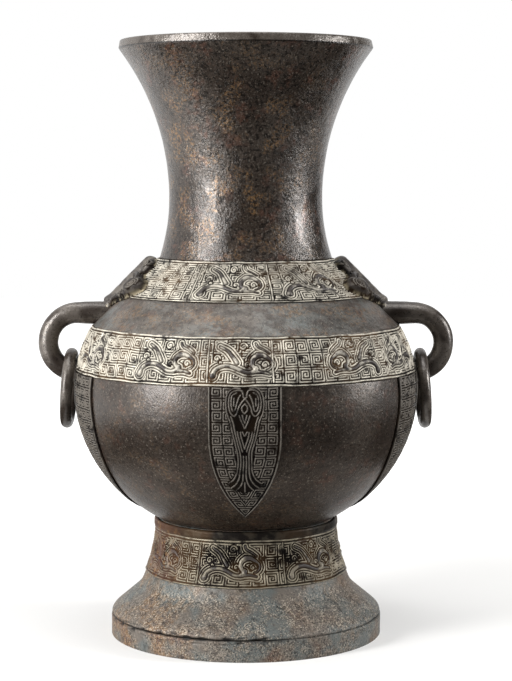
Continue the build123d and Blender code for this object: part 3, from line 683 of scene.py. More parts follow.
# Scrolls of a mask: across, rise, radius
MASK_SCROLLS = (
    (9.2, 18.6, 2.6),
    (9.6, 3.0, 2.4),
    (22.0, 6.6, 2.4),
    (29.5, 6.5, 4.4),
    (15.0, 23.0, 3.4),
    (19.6, 0.2, 3.0),
)
MASK_NOSE_RISE = (-12.5, -3.0, 12.0, 29.4)
MASK_NOSE_HALF = (6.2, 6.8, 6.4, 5.4)
MASK_NOSTRIL = (3.2, -8.0)
# Heights and depths of a mask, in millimetres
MASK_PLATE = 1.7
MASK_EDGE_ROUND = 2.4
MASK_UNDER = 1.2
MASK_BROW_TOP = MASK_PLATE + 2.2
MASK_NOSE_TOP = 5.0
MASK_NOSE_GROOVE = 1.1
MASK_NOSTRIL_DEPTH = 1.0
MASK_LUMP_GROOVE = 0.7
MASK_SCROLL_RISE = 0.55
MASK_SCROLL_GROUND = 0.35
MASK_UNEVEN = 0.12


def mask_drawing(rise, width):
    """Half of a mask, flat: its outline, its brow and its scrolls."""
    sizes = bpy.context.scene.hu_sizes
    pitch, brow_line = 0.25 * MM, 0.4 * MM
    low = MASK_RISE[0]
    tall = (MASK_RISE[-1] - low) * MM
    drawing = Drawing(max(MASK_HALF) * MM, tall, pitch)
    drawing.reach |= {"edge": 8 * MM, "brow": 3 * MM}
    drawing.draw("edge", np.stack((width, rise - low), axis=-1) * MM, 0)
    for level, end in ((0, width[0] * MM), (tall, width[-1] * MM)):
        drawing.draw("edge", [(0, level), (end, level)], 0)
    drawing.draw("brow", (curve(MASK_BROW) - (0, low)) * MM, brow_line)
    for spread, level, radius in MASK_SCROLLS:
        scroll = round_spiral(radius * MM, sizes.thread_pitch) + (spread * MM, (level - low) * MM)
        drawing.draw("thread", scroll, sizes.thread_width)
    return drawing


def mask_nose(rise, across):
    """Height of a mask's nose in millimetres, rounded at its tip and its crest, and its half width."""
    tip_round, tip_end = 5.0, 5.2
    snout_swell, snout_at, snout_wide = 0.14, 4.0, 2.6
    crest_round, crest_end = 4.2, 4.4
    above = (rise - MASK_RISE[0])[:, None]
    below = (MASK_RISE[-1] - rise)[:, None]
    half = np.interp(rise, MASK_NOSE_RISE, MASK_NOSE_HALF)[:, None]
    ridge = MASK_NOSE_TOP - half + np.sqrt(np.clip(half**2 - across**2, 0, None))
    tip = np.sqrt(1 - np.clip((tip_round - above) / tip_end, 0, 1) ** 2)
    snout = 1 + snout_swell * np.exp(-(((above - snout_at) / snout_wide) ** 2))
    crest = np.sqrt(1 - np.clip((crest_round - below) / crest_end, 0, 1) ** 2)
    return ridge * tip * snout * crest, half


def mask_relief(rise, width, across, rng):
    """Height of a mask over the slope in millimetres, and its marks: lumps, brow, scrolls and nose."""
    away = np.abs(across)
    upward = np.repeat(rise[:, None], across.shape[1], 1)
    drawing = mask_drawing(rise, width)
    place = (away * MM, (upward - MASK_RISE[0]) * MM)
    edge, brow, thread = (drawing.sample(layer, *place) / MM for layer in ("edge", "brow", "thread"))
    height = MASK_PLATE * smooth_step(0, MASK_EDGE_ROUND, edge)
    for spread, level, radius, bulge in MASK_LUMPS:
        share = np.hypot(away - spread, upward - level) / radius
        lump = MASK_PLATE + bulge * np.sqrt(np.clip(1 - share**2, 0, None))
        lump = lump * np.minimum(height / MASK_PLATE, 1)
        groove = MASK_LUMP_GROOVE * smooth_step(1.25, 1.02, share) * smooth_step(0.9, 1.02, share)
        height = np.where(share < 1, np.maximum(height, lump), height - groove)
    height = np.maximum(height, MASK_BROW_TOP * smooth_step(2.2, 0.2, brow))
    scrolls = smooth_step(0.3, -0.3, thread)
    ground = smooth_step(1.2, 0.5, thread)
    raised = 0.6 * smooth_step(MASK_PLATE - 0.1, MASK_PLATE + 1.1, height) * (1 - ground)
    height = height + MASK_SCROLL_RISE * scrolls - MASK_SCROLL_GROUND * ground
    nose, nose_half = mask_nose(rise, across)
    on_nose = smooth_step(-0.3, 0.5, nose - height) * (away < nose_half)
    height = height - MASK_NOSE_GROOVE * smooth_step(nose_half + 2.2, nose_half - 0.4, away) * (height > 0)
    height = np.where((away < nose_half) & (nose > height), nose, height)
    nostril = np.hypot(away - MASK_NOSTRIL[0], upward - MASK_NOSTRIL[1])
    height = height - MASK_NOSTRIL_DEPTH * smooth_step(1.9, 0.7, nostril)
    rows, columns = height.shape
    height = height + MASK_UNEVEN * lattice_noise(rng, rows, columns, rows // 9, columns // 9)
    seam = smooth_step(1.5, 0.3, edge)
    return height, {"thread": scrolls * (1 - on_nose), "beast": np.maximum(on_nose, raised), "seam": seam}


def mask(name, facing, seed):
    """Beast mask on the slope of the shoulder: lobed plate, long nose, brows, eyes, ears and horns."""
    sizes = bpy.context.scene.hu_sizes
    smoothing, back_columns = 3, 15
    lowest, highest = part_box("shoulder_band")
    foot, crown = wall_radius("shoulder_band", [lowest.z, highest.z])
    slope = np.array((crown - foot, highest.z - lowest.z))
    slope /= np.hypot(*slope)
    normal = np.array((slope[1], -slope[0]))
    rows = round((MASK_RISE[-1] - MASK_RISE[0]) * MM / sizes.relief_step)
    columns = round(2 * max(MASK_HALF) * MM / sizes.relief_step)
    rise = np.linspace(MASK_RISE[0], MASK_RISE[-1], rows)
    width = eased(np.interp(rise, MASK_RISE, MASK_HALF), smoothing)
    across = np.linspace(-1, 1, columns)[None, :] * width[:, None]
    height, marks = mask_relief(rise, width, across, np.random.default_rng(seed))
    azimuth = facing + np.arcsin(across * MM / (foot + rise[:, None] * slope[0] * MM))

    def surface(over):
        """Points of the mask at a height in millimetres over the slope."""
        reach = foot + (rise[:, None] * slope[0] + over * normal[0]) * MM
        level = lowest.z + (rise[:, None] * slope[1] + over * normal[1]) * MM
        return np.stack((reach * np.cos(azimuth), reach * np.sin(azimuth), level), axis=-1)

    few = np.linspace(0, columns - 1, back_columns).astype(int)
    back = surface(np.full(across.shape, -MASK_UNDER))[:, few]
    return plaque(name, surface(height), back, marks)


def bar(name, centres, ways, sides, radii, joined):
    """Round bar along a line of centres, with its direction and a square direction at each of them."""
    turn = np.arange(radii.shape[1]) * math.tau / radii.shape[1]
    lift = np.cross(ways, sides)
    rings = centres[:, None] + radii[..., None] * (
        np.cos(turn)[None, :, None] * sides[:, None] + np.sin(turn)[None, :, None] * lift[:, None]
    )
    return loft(name, rings, joined=joined)


def loop_handle(name, node, side, seed):
    """Loop of round bar from the snout of a mask out and back to the belly, thicker at its upper root."""
    sizes = bpy.context.scene.hu_sizes
    rng = np.random.default_rng(seed)
    sunk, step, around = 3 * MM, 0.55 * MM, 64
    root_swell, root_from, root_to = 0.9 * MM, 34 * MM, 6 * MM
    lowest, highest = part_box(node)
    thick = highest.y
    bend = (highest.z - lowest.z) / 2 - thick
    middle = (highest.z + lowest.z) / 2
    outmost = max(highest.x, -lowest.x)
    centre = outmost - thick - bend
    top_root = wall_radius("shoulder", [middle + bend])[0] - sunk
    low_root = wall_radius("belly", [middle - bend])[0] - sunk
    top_run = np.arange(top_root, centre, step)
    arc = np.linspace(math.pi / 2, -math.pi / 2, round(math.pi * bend / step))
    low_run = np.arange(centre, low_root, -step)[1:]
    rise = np.concatenate((np.ones(len(top_run)), np.sin(arc), -np.ones(len(low_run))))
    x = np.concatenate((top_run, centre + bend * np.cos(arc), low_run))
    z = middle + bend * rise
    ways = np.stack((np.gradient(x), 0 * x, np.gradient(z)), axis=-1)
    ways /= np.linalg.norm(ways, axis=1)[:, None]
    ways[:, 0] *= side
    centres = np.stack((side * x, 0 * x, z), axis=-1)
    sides = np.tile((0.0, 1.0, 0.0), (len(x), 1))
    count = len(x)
    wear = lattice_noise(rng, count, around, count // 12, 8)
    wear += 0.5 * lattice_noise(rng, count, around, count // 4, 20)
    root = root_swell * smooth_step(root_from, root_to, np.arange(count) * step)
    radii = thick - sizes.bar_wear * (0.7 + 0.6 * wear) + root[:, None]
    return bar(name, centres, ways, sides, radii, joined=False)


def hanging_ring(name, node, joint, seed):
    """Loose ring, round in section and a little worn, hung where its joint holds it."""
    sizes = bpy.context.scene.hu_sizes
    rng = np.random.default_rng(seed)
    lowest, highest = (np.array(corner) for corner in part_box(node))
    pivot = np.array(next(j["pos_m"] for j in frame["joints"] if j["name"] == joint))
    middle = (lowest + highest) / 2
    down = (middle - pivot) / np.linalg.norm(middle - pivot)
    ring_radius = np.linalg.norm(middle - pivot)
    thick = highest[1] - ring_radius
    count, around = 150, 44
    turn = np.arange(count) * math.tau / count
    across = np.array((0.0, 1.0, 0.0))
    sides = np.cos(turn)[:, None] * across + np.sin(turn)[:, None] * down
    ways = -np.sin(turn)[:, None] * across + np.cos(turn)[:, None] * down
    wear = lattice_noise(rng, around, count, 6, 16).T + 0.5 * lattice_noise(rng, around, count, 12, 50).T
    radii = thick - sizes.bar_wear * (0.65 + 0.6 * wear)
    return bar(name, middle + ring_radius * sides, ways, sides, radii, joined=True)


# Finishes

def add_node(tree, kind, inputs=None, **settings):
    """Add a shader node, set what it needs, and fill its sockets with values or links."""
    node = tree.nodes.new(kind)
    for setting, value in settings.items():
        setattr(node, setting, value)
    for socket, value in (inputs or {}).items():
        if isinstance(value, bpy.types.NodeSocket):
            tree.links.new(value, node.inputs[socket])
        else:
            node.inputs[socket].default_value = value
    return node


def together(tree, share, *others):
    """Share of a surface where several shares meet."""
    for other in others:
        share = add_node(tree, "ShaderNodeMath", {0: share, 1: other}, operation="MULTIPLY").outputs[0]
    return share


def blotches(tree, place, size, low, high, detail=4.0):
    """Patches of a real size, as a share from 0 to 1."""
    noise = add_node(tree, "ShaderNodeTexNoise", {"Vector": place, "Scale": 1 / size, "Detail": detail})
    limits = {"Value": noise.outputs["Fac"], "From Min": low, "From Max": high}
    return add_node(tree, "ShaderNodeMapRange", limits, interpolation_type="SMOOTHSTEP").outputs["Result"]


def specks(tree, place, size, full):
    """Round grains of a real size, full as far as a share of it, with fewer than half of them there."""
    cells = add_node(tree, "ShaderNodeTexVoronoi", {"Vector": place, "Scale": 1 / size}).outputs
    soft = 0.2
    grain = {"Value": cells["Distance"], "From Min": full + soft, "From Max": full}
    there = {"Value": cells["Color"], "From Min": 0.5, "From Max": 0.6}
    shares = [add_node(tree, "ShaderNodeMapRange", limits).outputs["Result"] for limits in (grain, there)]
    return together(tree, *shares)


def layered(tree, base, layers):
    """Colour of a surface on which each layer lies over the last, as far as all of its shares let it."""
    under = (*base, 1.0)
    for over, *shares in layers:
        sockets = {0: together(tree, *shares), 6: under, 7: (*over, 1.0)}
        under = add_node(tree, "ShaderNodeMix", sockets, data_type="RGBA").outputs[2]
    return under


def start_finish(name):
    """New material with its node tree, its shader and the place of each point on the piece."""
    material = bpy.data.materials.new(name)
    material.use_nodes = True
    tree = material.node_tree
    shader = tree.nodes["Principled BSDF"]
    place = add_node(tree, "ShaderNodeTexCoord").outputs["Object"]
    return material, tree, shader, place


def wear_surface(tree, shader, place, grit, depth, low_rough, high_rough):
    """Fine and coarse pits as bump, and uneven gloss from the fine ones."""
    coarse = grit / 0.3
    fine_grit = {"Vector": place, "Scale": 1 / grit, "Detail": 3.0, "Roughness": 0.6}
    coarse_grit = {"Vector": place, "Scale": 1 / coarse, "Detail": 3.0}
    fine, pits = (
        add_node(tree, "ShaderNodeTexNoise", sizes).outputs["Fac"] for sizes in (fine_grit, coarse_grit)
    )
    pitted = blotches(tree, place, 12 * MM, 0.3, 0.62)
    first = add_node(tree, "ShaderNodeBump", {"Height": fine, "Distance": depth, "Strength": pitted})
    bump = {"Height": pits, "Distance": depth, "Normal": first.outputs["Normal"]}
    second = add_node(tree, "ShaderNodeBump", bump)
    range_of_gloss = {"From Min": 0.35, "From Max": 0.65, "To Min": low_rough, "To Max": high_rough}
    gloss = add_node(tree, "ShaderNodeMapRange", {"Value": fine, **range_of_gloss})
    tree.links.new(second.outputs["Normal"], shader.inputs["Normal"])
    tree.links.new(gloss.outputs["Result"], shader.inputs["Roughness"])


def cast_bronze_wall(name, dusty, low_rough, high_rough, gloss_level, pit_depth, mottle, dull_below=False):
    """Cast bronze, dark brown patina: soft gloss, cloudy browns, ochre earth, dust in level streaks, pits."""
    colours = bpy.context.scene.hu_colours
    material, tree, shader, place = start_finish(name)
    spread = add_node(tree, "ShaderNodeSeparateXYZ", {"Vector": place})
    across, level = spread.outputs["X"], spread.outputs["Z"]
    flattened = {"Vector": place, "Scale": (1.0, 1.0, 3.0)}
    level_run = add_node(tree, "ShaderNodeMapping", flattened).outputs["Vector"]
    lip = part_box("neck")[1].z - LIP_EDGE
    # Each fade: what it follows, from where to where, and its share before and after
    ranges = {
        "up_the_neck": (level, 200 * MM, 250 * MM, 0.2, 0.75),
        "to_the_lip": (level, 300 * MM, 340 * MM, 1.0, 0.35),
        "to_the_right": (across, 10 * MM, 42 * MM, 1.0, 0.35),
        # A near-black line just under the lip's arris is painted shade
        "under_lip": (level, lip - 1.1 * MM, lip - 0.3 * MM, 0.0, 0.8),
        # Over the upright lip edge: plain bronze, then grey-brown patches that are partly rubbed wear and
        # partly painted sheen
        "lip_edge": (level, lip, lip + 0.3 * MM, 0.0, 0.9),
    }
    fades = {}
    for fade, (follows, start, stop, before, after) in ranges.items():
        limits = {"Value": follows, "From Min": start, "From Max": stop, "To Min": before, "To Max": after}
        fades[fade] = add_node(tree, "ShaderNodeMapRange", limits).outputs["Result"]
    earth_fades = (fades["up_the_neck"], fades["to_the_lip"], fades["to_the_right"])
    dust = together(tree, blotches(tree, place, 7 * MM, 0.25, 0.6), dusty)
    clouds = blotches(tree, place, 30 * MM, 0.35, 0.7)
    streaks = blotches(tree, level_run, 15 * MM, 0.44, 0.64, 7.0)
    patches = blotches(tree, level_run, 22 * MM, 0.5, 0.62)
    patch_grit = blotches(tree, place, 2 * MM, 0.42, 0.6)
    oxide = blotches(tree, place, 13 * MM, 0.5, 0.64)
    oxide_grit = blotches(tree, place, 4 * MM, 0.4, 0.62)
    earth = blotches(tree, place, 15 * MM, 0.46, 0.62)
    earth_grit = blotches(tree, place, 1.3 * MM, 0.48, 0.6)
    dark = blotches(tree, place, 1.9 * MM, 0.5, 0.6)
    pale = blotches(tree, place, 1.1 * MM, 0.6, 0.68)
    worn = blotches(tree, place, 6 * MM, 0.25, 0.55)
    layers = [
        (colours.bronze_rubbed, clouds, 0.25),
        (colours.crust, dust),
        (colours.verdigris, dust, clouds),
        (colours.bronze, streaks, 0.8 * dusty),
        (colours.ochre, patches, patch_grit, 0.5 * dusty),
        (colours.cuprite, oxide, oxide_grit, 0.6 * mottle),
        (colours.ochre, earth, earth_grit, *earth_fades),
        (colours.bronze_deep, dark, 0.7 * mottle),
        (colours.dust, pale, 0.2),
        # Painted shade: a near-black line under the lip's arris
        (colours.bronze_deep, fades["under_lip"]),
        (colours.bronze, fades["lip_edge"]),
        # Pale patches on the lip's edge: partly rubbed wear, partly painted sheen
        (colours.crust, fades["lip_edge"], worn, 0.7),
    ]
    tree.links.new(layered(tree, colours.bronze, layers), shader.inputs["Base Color"])
    shader.inputs["Metallic"].default_value = 0.35
    shader.inputs["Specular IOR Level"].default_value = gloss_level
    if dull_below:
        upward = {"Value": level, "From Min": 105 * MM, "From Max": 140 * MM}
        gloss = add_node(tree, "ShaderNodeMapRange", {**upward, "To Min": 0.1, "To Max": gloss_level})
        tree.links.new(gloss.outputs["Result"], shader.inputs["Specular IOR Level"])
    wear_surface(tree, shader, place, 1.1 * MM, pit_depth, low_rough, high_rough)
    return material


def corroded_bronze(name, smooth_from, grain_share, oxide_share):
    """Bronze that lay in earth: dull, smooth and blue-grey above, granular below, with rust to the left."""
    colours = bpy.context.scene.hu_colours
    material, tree, shader, place = start_finish(name)
    spread = add_node(tree, "ShaderNodeSeparateXYZ", {"Vector": place})
    granular_from = smooth_from - 9 * MM
    level, across = spread.outputs["Z"], spread.outputs["X"]
    downward = {"Value": level, "From Min": smooth_from, "From Max": granular_from, "To Min": 0.25}
    leftward = {"Value": across, "From Min": -20 * MM, "From Max": -62 * MM, "To Min": 0.3}
    low, left = (
        add_node(tree, "ShaderNodeMapRange", limits).outputs["Result"] for limits in (downward, leftward)
    )
    seam = add_node(tree, "ShaderNodeAttribute", attribute_name="seam").outputs["Fac"]
    granular = together(tree, low, blotches(tree, place, 16 * MM, 0.25, 0.5))
    oxide = blotches(tree, place, 17 * MM, 0.45, 0.62, 6.0)
    blue = blotches(tree, place, 24 * MM, 0.44, 0.58)
    streaks = blotches(tree, place, 5 * MM, 0.55, 0.66, 8.0)
    rust = blotches(tree, place, 17 * MM, 0.4, 0.56)
    rust_grit = blotches(tree, place, 3 * MM, 0.36, 0.6)
    pits = blotches(tree, place, 1.1 * MM, 0.5, 0.62)
    flecks = blotches(tree, place, 0.8 * MM, 0.55, 0.65)
    grains = specks(tree, place, 0.8 * MM, 0.4)
    clusters = blotches(tree, place, 3 * MM, 0.4, 0.55)
    layers = [
        (colours.cuprite, oxide, oxide_share),
        (colours.verdigris, blue, 0.75),
        (colours.bronze_deep, streaks, 0.5),
        (colours.ochre, left, rust, rust_grit, 0.75),
        (colours.bronze_deep, granular, pits, 0.75),
        (colours.dust, granular, flecks, 0.45),
        (colours.dust, granular, grains, clusters, grain_share),
        # Near-black in the seam: partly dirt in its crack, partly painted shade in its groove
        (colours.bronze_deep, seam),
    ]
    tree.links.new(layered(tree, colours.crust, layers), shader.inputs["Base Color"])
    shader.inputs["Metallic"].default_value = 0.3
    shader.inputs["Specular IOR Level"].default_value = 0.35
    wear_surface(tree, shader, place, 1.3 * MM, 0.4 * MM, 0.48, 0.68)
    return material


def relief_bronze(name, thread_colour, ground_colour, beast_colour, crust, oxide=0.0):
    """Cast relief: rubbed threads catch the light over dark matte grounds, with stains of earth and oxide."""
    colours = bpy.context.scene.hu_colours
    material, tree, shader, place = start_finish(name)
    thread, beast, seam = (
        add_node(tree, "ShaderNodeAttribute", attribute_name=mark).outputs["Fac"]
        for mark in ("thread", "beast", "seam")
    )
    across = add_node(tree, "ShaderNodeSeparateXYZ", {"Vector": place}).outputs["X"]
    leftward = {"Value": across, "From Min": -34 * MM, "From Max": -50 * MM, "To Max": oxide}
    left = add_node(tree, "ShaderNodeMapRange", leftward).outputs["Result"]
    layers = [
        (colours.ochre, blotches(tree, place, 26 * MM, 0.42, 0.66), crust),
        (thread_colour, thread, blotches(tree, place, 5 * MM, 0.3, 0.5)),
        (colours.bronze_rubbed, thread, blotches(tree, place, 19 * MM, 0.5, 0.68), 0.5),
        (beast_colour, beast),
        (thread_colour, beast, blotches(tree, place, 6 * MM, 0.46, 0.6), 0.5),
        (colours.cuprite, left, blotches(tree, place, 7 * MM, 0.34, 0.52)),
        (colours.ochre, left, specks(tree, place, 3 * MM, 0.3)),
        (colours.clay, seam, blotches(tree, place, 4 * MM, 0.42, 0.6), 0.55),
    ]
    tree.links.new(layered(tree, ground_colour, layers), shader.inputs["Base Color"])
    raised = add_node(tree, "ShaderNodeMath", {0: thread, 1: beast}, operation="MAXIMUM").outputs[0]
    matte = add_node(tree, "ShaderNodeMapRange", {"Value": raised, "To Min": 0.03, "To Max": 0.35})
    tree.links.new(matte.outputs["Result"], shader.inputs["Specular IOR Level"])
    shader.inputs["Metallic"].default_value = 0.2
    wear_surface(tree, shader, place, 0.9 * MM, 0.1 * MM, 0.36, 0.55)
    return material


def rubbed_bronze_bar(name):
    """Cast bronze bars handled for long: smoother, dark grey-brown, with speckles in the pits."""
    colours = bpy.context.scene.hu_colours
    material, tree, shader, place = start_finish(name)
    layers = [
        (colours.bronze_rubbed, blotches(tree, place, 12 * MM, 0.38, 0.66), 0.75),
        (colours.bronze_deep, blotches(tree, place, 1.5 * MM, 0.58, 0.68), 0.7),
    ]
    tree.links.new(layered(tree, colours.bronze, layers), shader.inputs["Base Color"])
    shader.inputs["Metallic"].default_value = 0.35
    shader.inputs["Specular IOR Level"].default_value = 0.7
    wear_surface(tree, shader, place, 1.2 * MM, 0.18 * MM, 0.26, 0.4)
    return material


# Pieces

class HU_OT_walls(bpy.types.Operator):
    """Turn the neck, the shoulder and the belly, and finish the floor of the bowl"""

    bl_idname = "hu.walls"
    bl_label = "Plain walls"

    def execute(self, context):
        rng = np.random.default_rng(11)
        film = 0.2 * MM
        # Each finish: dust, lowest and highest roughness, gloss level, depth of the pits, mottling,
        # and whether it is dull below
        dark_finish = cast_bronze_wall("cast_bronze_dark_patina", 0.0, 0.2, 0.36, 0.7, 0.36 * MM, 1.0)
        dusty_finish = cast_bronze_wall("cast_bronze_dusty_patina", 0.75, 0.34, 0.5, 0.5, 0.36 * MM, 0.5)
        satin_finish = cast_bronze_wall(
            "cast_bronze_satin_patina", 0.0, 0.26, 0.4, 0.6, 0.17 * MM, 0.55, dull_below=True
        )
        neck_low, neck_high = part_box("neck")
        band_low, band_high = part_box("belly_band")
        top_low, top_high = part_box("shoulder_band")
        belly_low, belly_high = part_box("belly")
        shoulder_low, shoulder_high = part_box("shoulder")
        foot_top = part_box("foot_band")[1].z
        lip = neck_high.z - LIP_EDGE
        neck_breaks = [neck_low.z, top_high.z + film, lip, neck_high.z - LIP_BEVEL, neck_high.z]
        shoulder_breaks = [shoulder_low.z, band_high.z + film, top_low.z, shoulder_high.z]
        belly_breaks = [belly_low.z, foot_top, band_low.z, belly_high.z]
        # Each wall: its node, where its outside breaks, its points around, its lip and its finish
        walls = (
            ("neck", neck_breaks, 400, lip, dark_finish),
            ("shoulder", shoulder_breaks, 480, None, dusty_finish),
            ("belly", belly_breaks, 560, None, satin_finish),
        )
        for node, breaks, columns, edge, finish in walls:
            wall = plain_wall(f"{node}_wall", node, breaks, columns, rng, lip=edge)
            dress(wall, node, "vessel", finish)
        plate = frame["nodes"]["bottom_plate"]
        plate.data.materials.clear()
        plate.data.materials.append(satin_finish)
        return {"FINISHED"}


class HU_OT_foot(bpy.types.Operator):
    """Turn the flared skirt of the foot and the rim that it stands on"""

    bl_idname = "hu.foot"
    bl_label = "Foot"

    def execute(self, context):
        rng = np.random.default_rng(23)
        columns = 440
        low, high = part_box("foot")
        rim_low, rim_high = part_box("foot_ring")
        band_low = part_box("foot_band")[0].z
        # Each piece: its name, node, the heights where its outside breaks, and its shares of grains and oxide
        pieces = (
            ("skirt", "foot", [low.z, band_low, high.z], 0.7, 0.3),
            ("rim", "foot_ring", [rim_low.z, low.z, rim_high.z], 0.4, 0.8),
        )
        for part, node, breaks, grains, oxide in pieces:
            piece = plain_wall(f"foot_{part}", node, breaks, columns, rng, seam_height=low.z)
            finish = corroded_bronze(f"corroded_bronze_{part}", band_low, grains, oxide)
            dress(piece, node, "vessel", finish)
        return {"FINISHED"}


class HU_OT_hoops(bpy.types.Operator):
    """Model the three ornamented hoops, with square spirals and running beasts"""

    bl_idname = "hu.hoops"
    bl_label = "Ornamented hoops"

    def execute(self, context):
        colours = context.scene.hu_colours
        sizes = context.scene.hu_sizes
        ground, beast = colours.bronze_deep, colours.beast_dark
        pale = relief_bronze("cast_relief_pale_threads", colours.thread_pale, ground, beast, 0.3)
        earthy = relief_bronze("cast_relief_earthy_threads", colours.thread_earthy, ground, beast, 0.2, 0.6)
        # Beasts: degrees round from the front, and the way they face; dividers: degrees round from the front
        belly_beasts = [(-66, 1), (-27, 1), (-1.4, 1), (39.5, -1), (66, -1)]
        belly_beasts += [(angle + 180, facing) for angle, facing in belly_beasts]
        shoulder_beasts = [(-8, 1), (34.6, 1), (172, 1), (214.6, 1)]
        belly_dividers = (-12, 9, 168, 189)
        shoulder_dividers = (-26, 12.5, 154, 192.5)
        foot_step = 360 / 7
        foot_dividers = [23 + foot_step * i for i in range(7)]
        foot_beasts = [(angle - 0.62 * foot_step, 1) for angle in foot_dividers]
        # Each hoop: name, node, beasts, dividers, scale of a beast, collar, seed and finish
        hoops = (
            ("belly_hoop", "belly_band", belly_beasts, belly_dividers, (0.97, 1.0), 0, 5, pale),
            ("shoulder_hoop", "shoulder_band", shoulder_beasts, shoulder_dividers, (0.95, 1.1), 0, 6, pale),
            ("foot_hoop", "foot_band", foot_beasts, foot_dividers, (0.95, 1.0), sizes.foot_collar, 7, earthy),
        )
        for name, node, beasts, dividers, scale, collar, seed, finish in hoops:
            piece = hoop(name, node, beasts, dividers, scale, collar, seed)
            dress(piece, node, "vessel", finish)
        return {"FINISHED"}


class HU_OT_blades(bpy.types.Operator):
    """Model the four raised blades of the belly, with square spirals and cicada figures"""

    bl_idname = "hu.blades"
    bl_label = "Raised blades"

    def execute(self, context):
        colours = context.scene.hu_colours
        sizes = context.scene.hu_sizes
        finish = relief_bronze(
            "cast_relief_dark_blades", colours.thread_grey, colours.bronze_deep, colours.bronze, 0.04
        )
        slim = (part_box("lappet_front")[1].x, sizes.slim_blade_straight)
        broad = (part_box("lappet_right")[1].y, sizes.broad_blade_straight)
        blades = (
            ("front_blade", "lappet_front", FRONT, slim),
            ("back_blade", "lappet_back", FRONT - 180, slim),
            ("right_blade", "lappet_right", 0, broad),
            ("left_blade", "lappet_left", 180, broad),
        )
        for name, node, facing, (half, straight) in blades:
            piece = blade(name, node, math.radians(facing), half, straight, 31 + facing)
            dress(piece, node, "vessel", finish)
        return {"FINISHED"}


class HU_OT_masks(bpy.types.Operator):
    """Model the two beast masks on the shoulder"""

    bl_idname = "hu.masks"
    bl_label = "Beast masks"

    def execute(self, context):
        colours = context.scene.hu_colours
        finish = relief_bronze(
            "cast_relief_beast_mask", colours.thread_grey, colours.bronze_deep, colours.beast_dark, 0.1
        )
        for side, facing in (("right", 0), ("left", 180)):
            piece = mask(f"{side}_beast_mask", math.radians(facing), 41 + facing)
            dress(piece, f"{side}_mask", "vessel", finish)
        return {"FINISHED"}


class HU_OT_handles(bpy.types.Operator):
    """Bend the two loop handles"""

    bl_idname = "hu.handles"
    bl_label = "Loop handles"

    def execute(self, context):
        finish = rubbed_bronze_bar("rubbed_bronze_handle")
        for name, node, side in (("right_handle", "right_loop", 1), ("left_handle", "left_loop", -1)):
            piece = loop_handle(name, node, side, 53 + side)
            dress(piece, node, "vessel", finish)
        return {"FINISHED"}


class HU_OT_rings(bpy.types.Operator):
    """Hang a loose ring in each handle"""

    bl_idname = "hu.rings"
    bl_label = "Loose rings"

    def execute(self, context):
        finish = rubbed_bronze_bar("rubbed_bronze_ring")
        for side in ("right", "left"):
            body = f"{side}_ring"
            piece = hanging_ring(f"{side}_hanging_ring", body, f"{side}_ring_swing", 61 + len(side))
            dress(piece, body, body, finish)
        return {"FINISHED"}


# Camera of the photograph, fitted to the ellipses of the lip, the belly and the foot
CAMERA_PLACE = (6 * MM, -1124.4 * MM, 273.1 * MM)
CAMERA_TILT = math.radians(84.963)
CAMERA_LENS = 100.55
CAMERA_SENSOR = 36.0
CAMERA_END = 20.0
# Each lamp: its name, its place, its width and height, all in metres, and its radiance
LAMPS = (
    ("key_softbox", (-1.12, -0.75, 0.55), (0.34, 0.95), 30.0),
    ("right_softbox", (1.25, -0.1, 0.5), (0.24, 0.6), 28.0),
    ("top_softbox", (-0.05, -0.1, 1.5), (1.6, 0.6), 4.8),
)
LAMP_AIM = Vector((0, 0, 0.17))
# Black flags in metres: their ends to the left, right, front and back, and their lower and upper edges
FLAG_LEFT, FLAG_RIGHT, FLAG_FRONT, FLAG_BACK = -1.3, 1.5, -1.75, 2.0
FLAG_LOW, FLAG_HIGH = 0.004, 2.2
# Outline of the flag on the floor, which leaves the foot of the vessel clear
FLOOR_FLAG = (
    (-0.45, 0.6), (-0.45, FLAG_FRONT), (1.0, FLAG_FRONT), (1.0, 0.6),
    (0.25, 0.6), (0.165, -0.125), (-0.155, -0.125), (-0.24, 0.6),
)
FLOOR_HALF = 3.0


def seen_share(tree):
    """1 on the way to the eye, straight or by gloss or glass, and 0 on the way to other surfaces."""
    rays = add_node(tree, "ShaderNodeLightPath").outputs
    seen = rays["Is Camera Ray"]
    for ray in ("Is Glossy Ray", "Is Transmission Ray"):
        seen = add_node(tree, "ShaderNodeMath", {0: seen, 1: rays[ray]}, operation="MAXIMUM").outputs[0]
    return seen


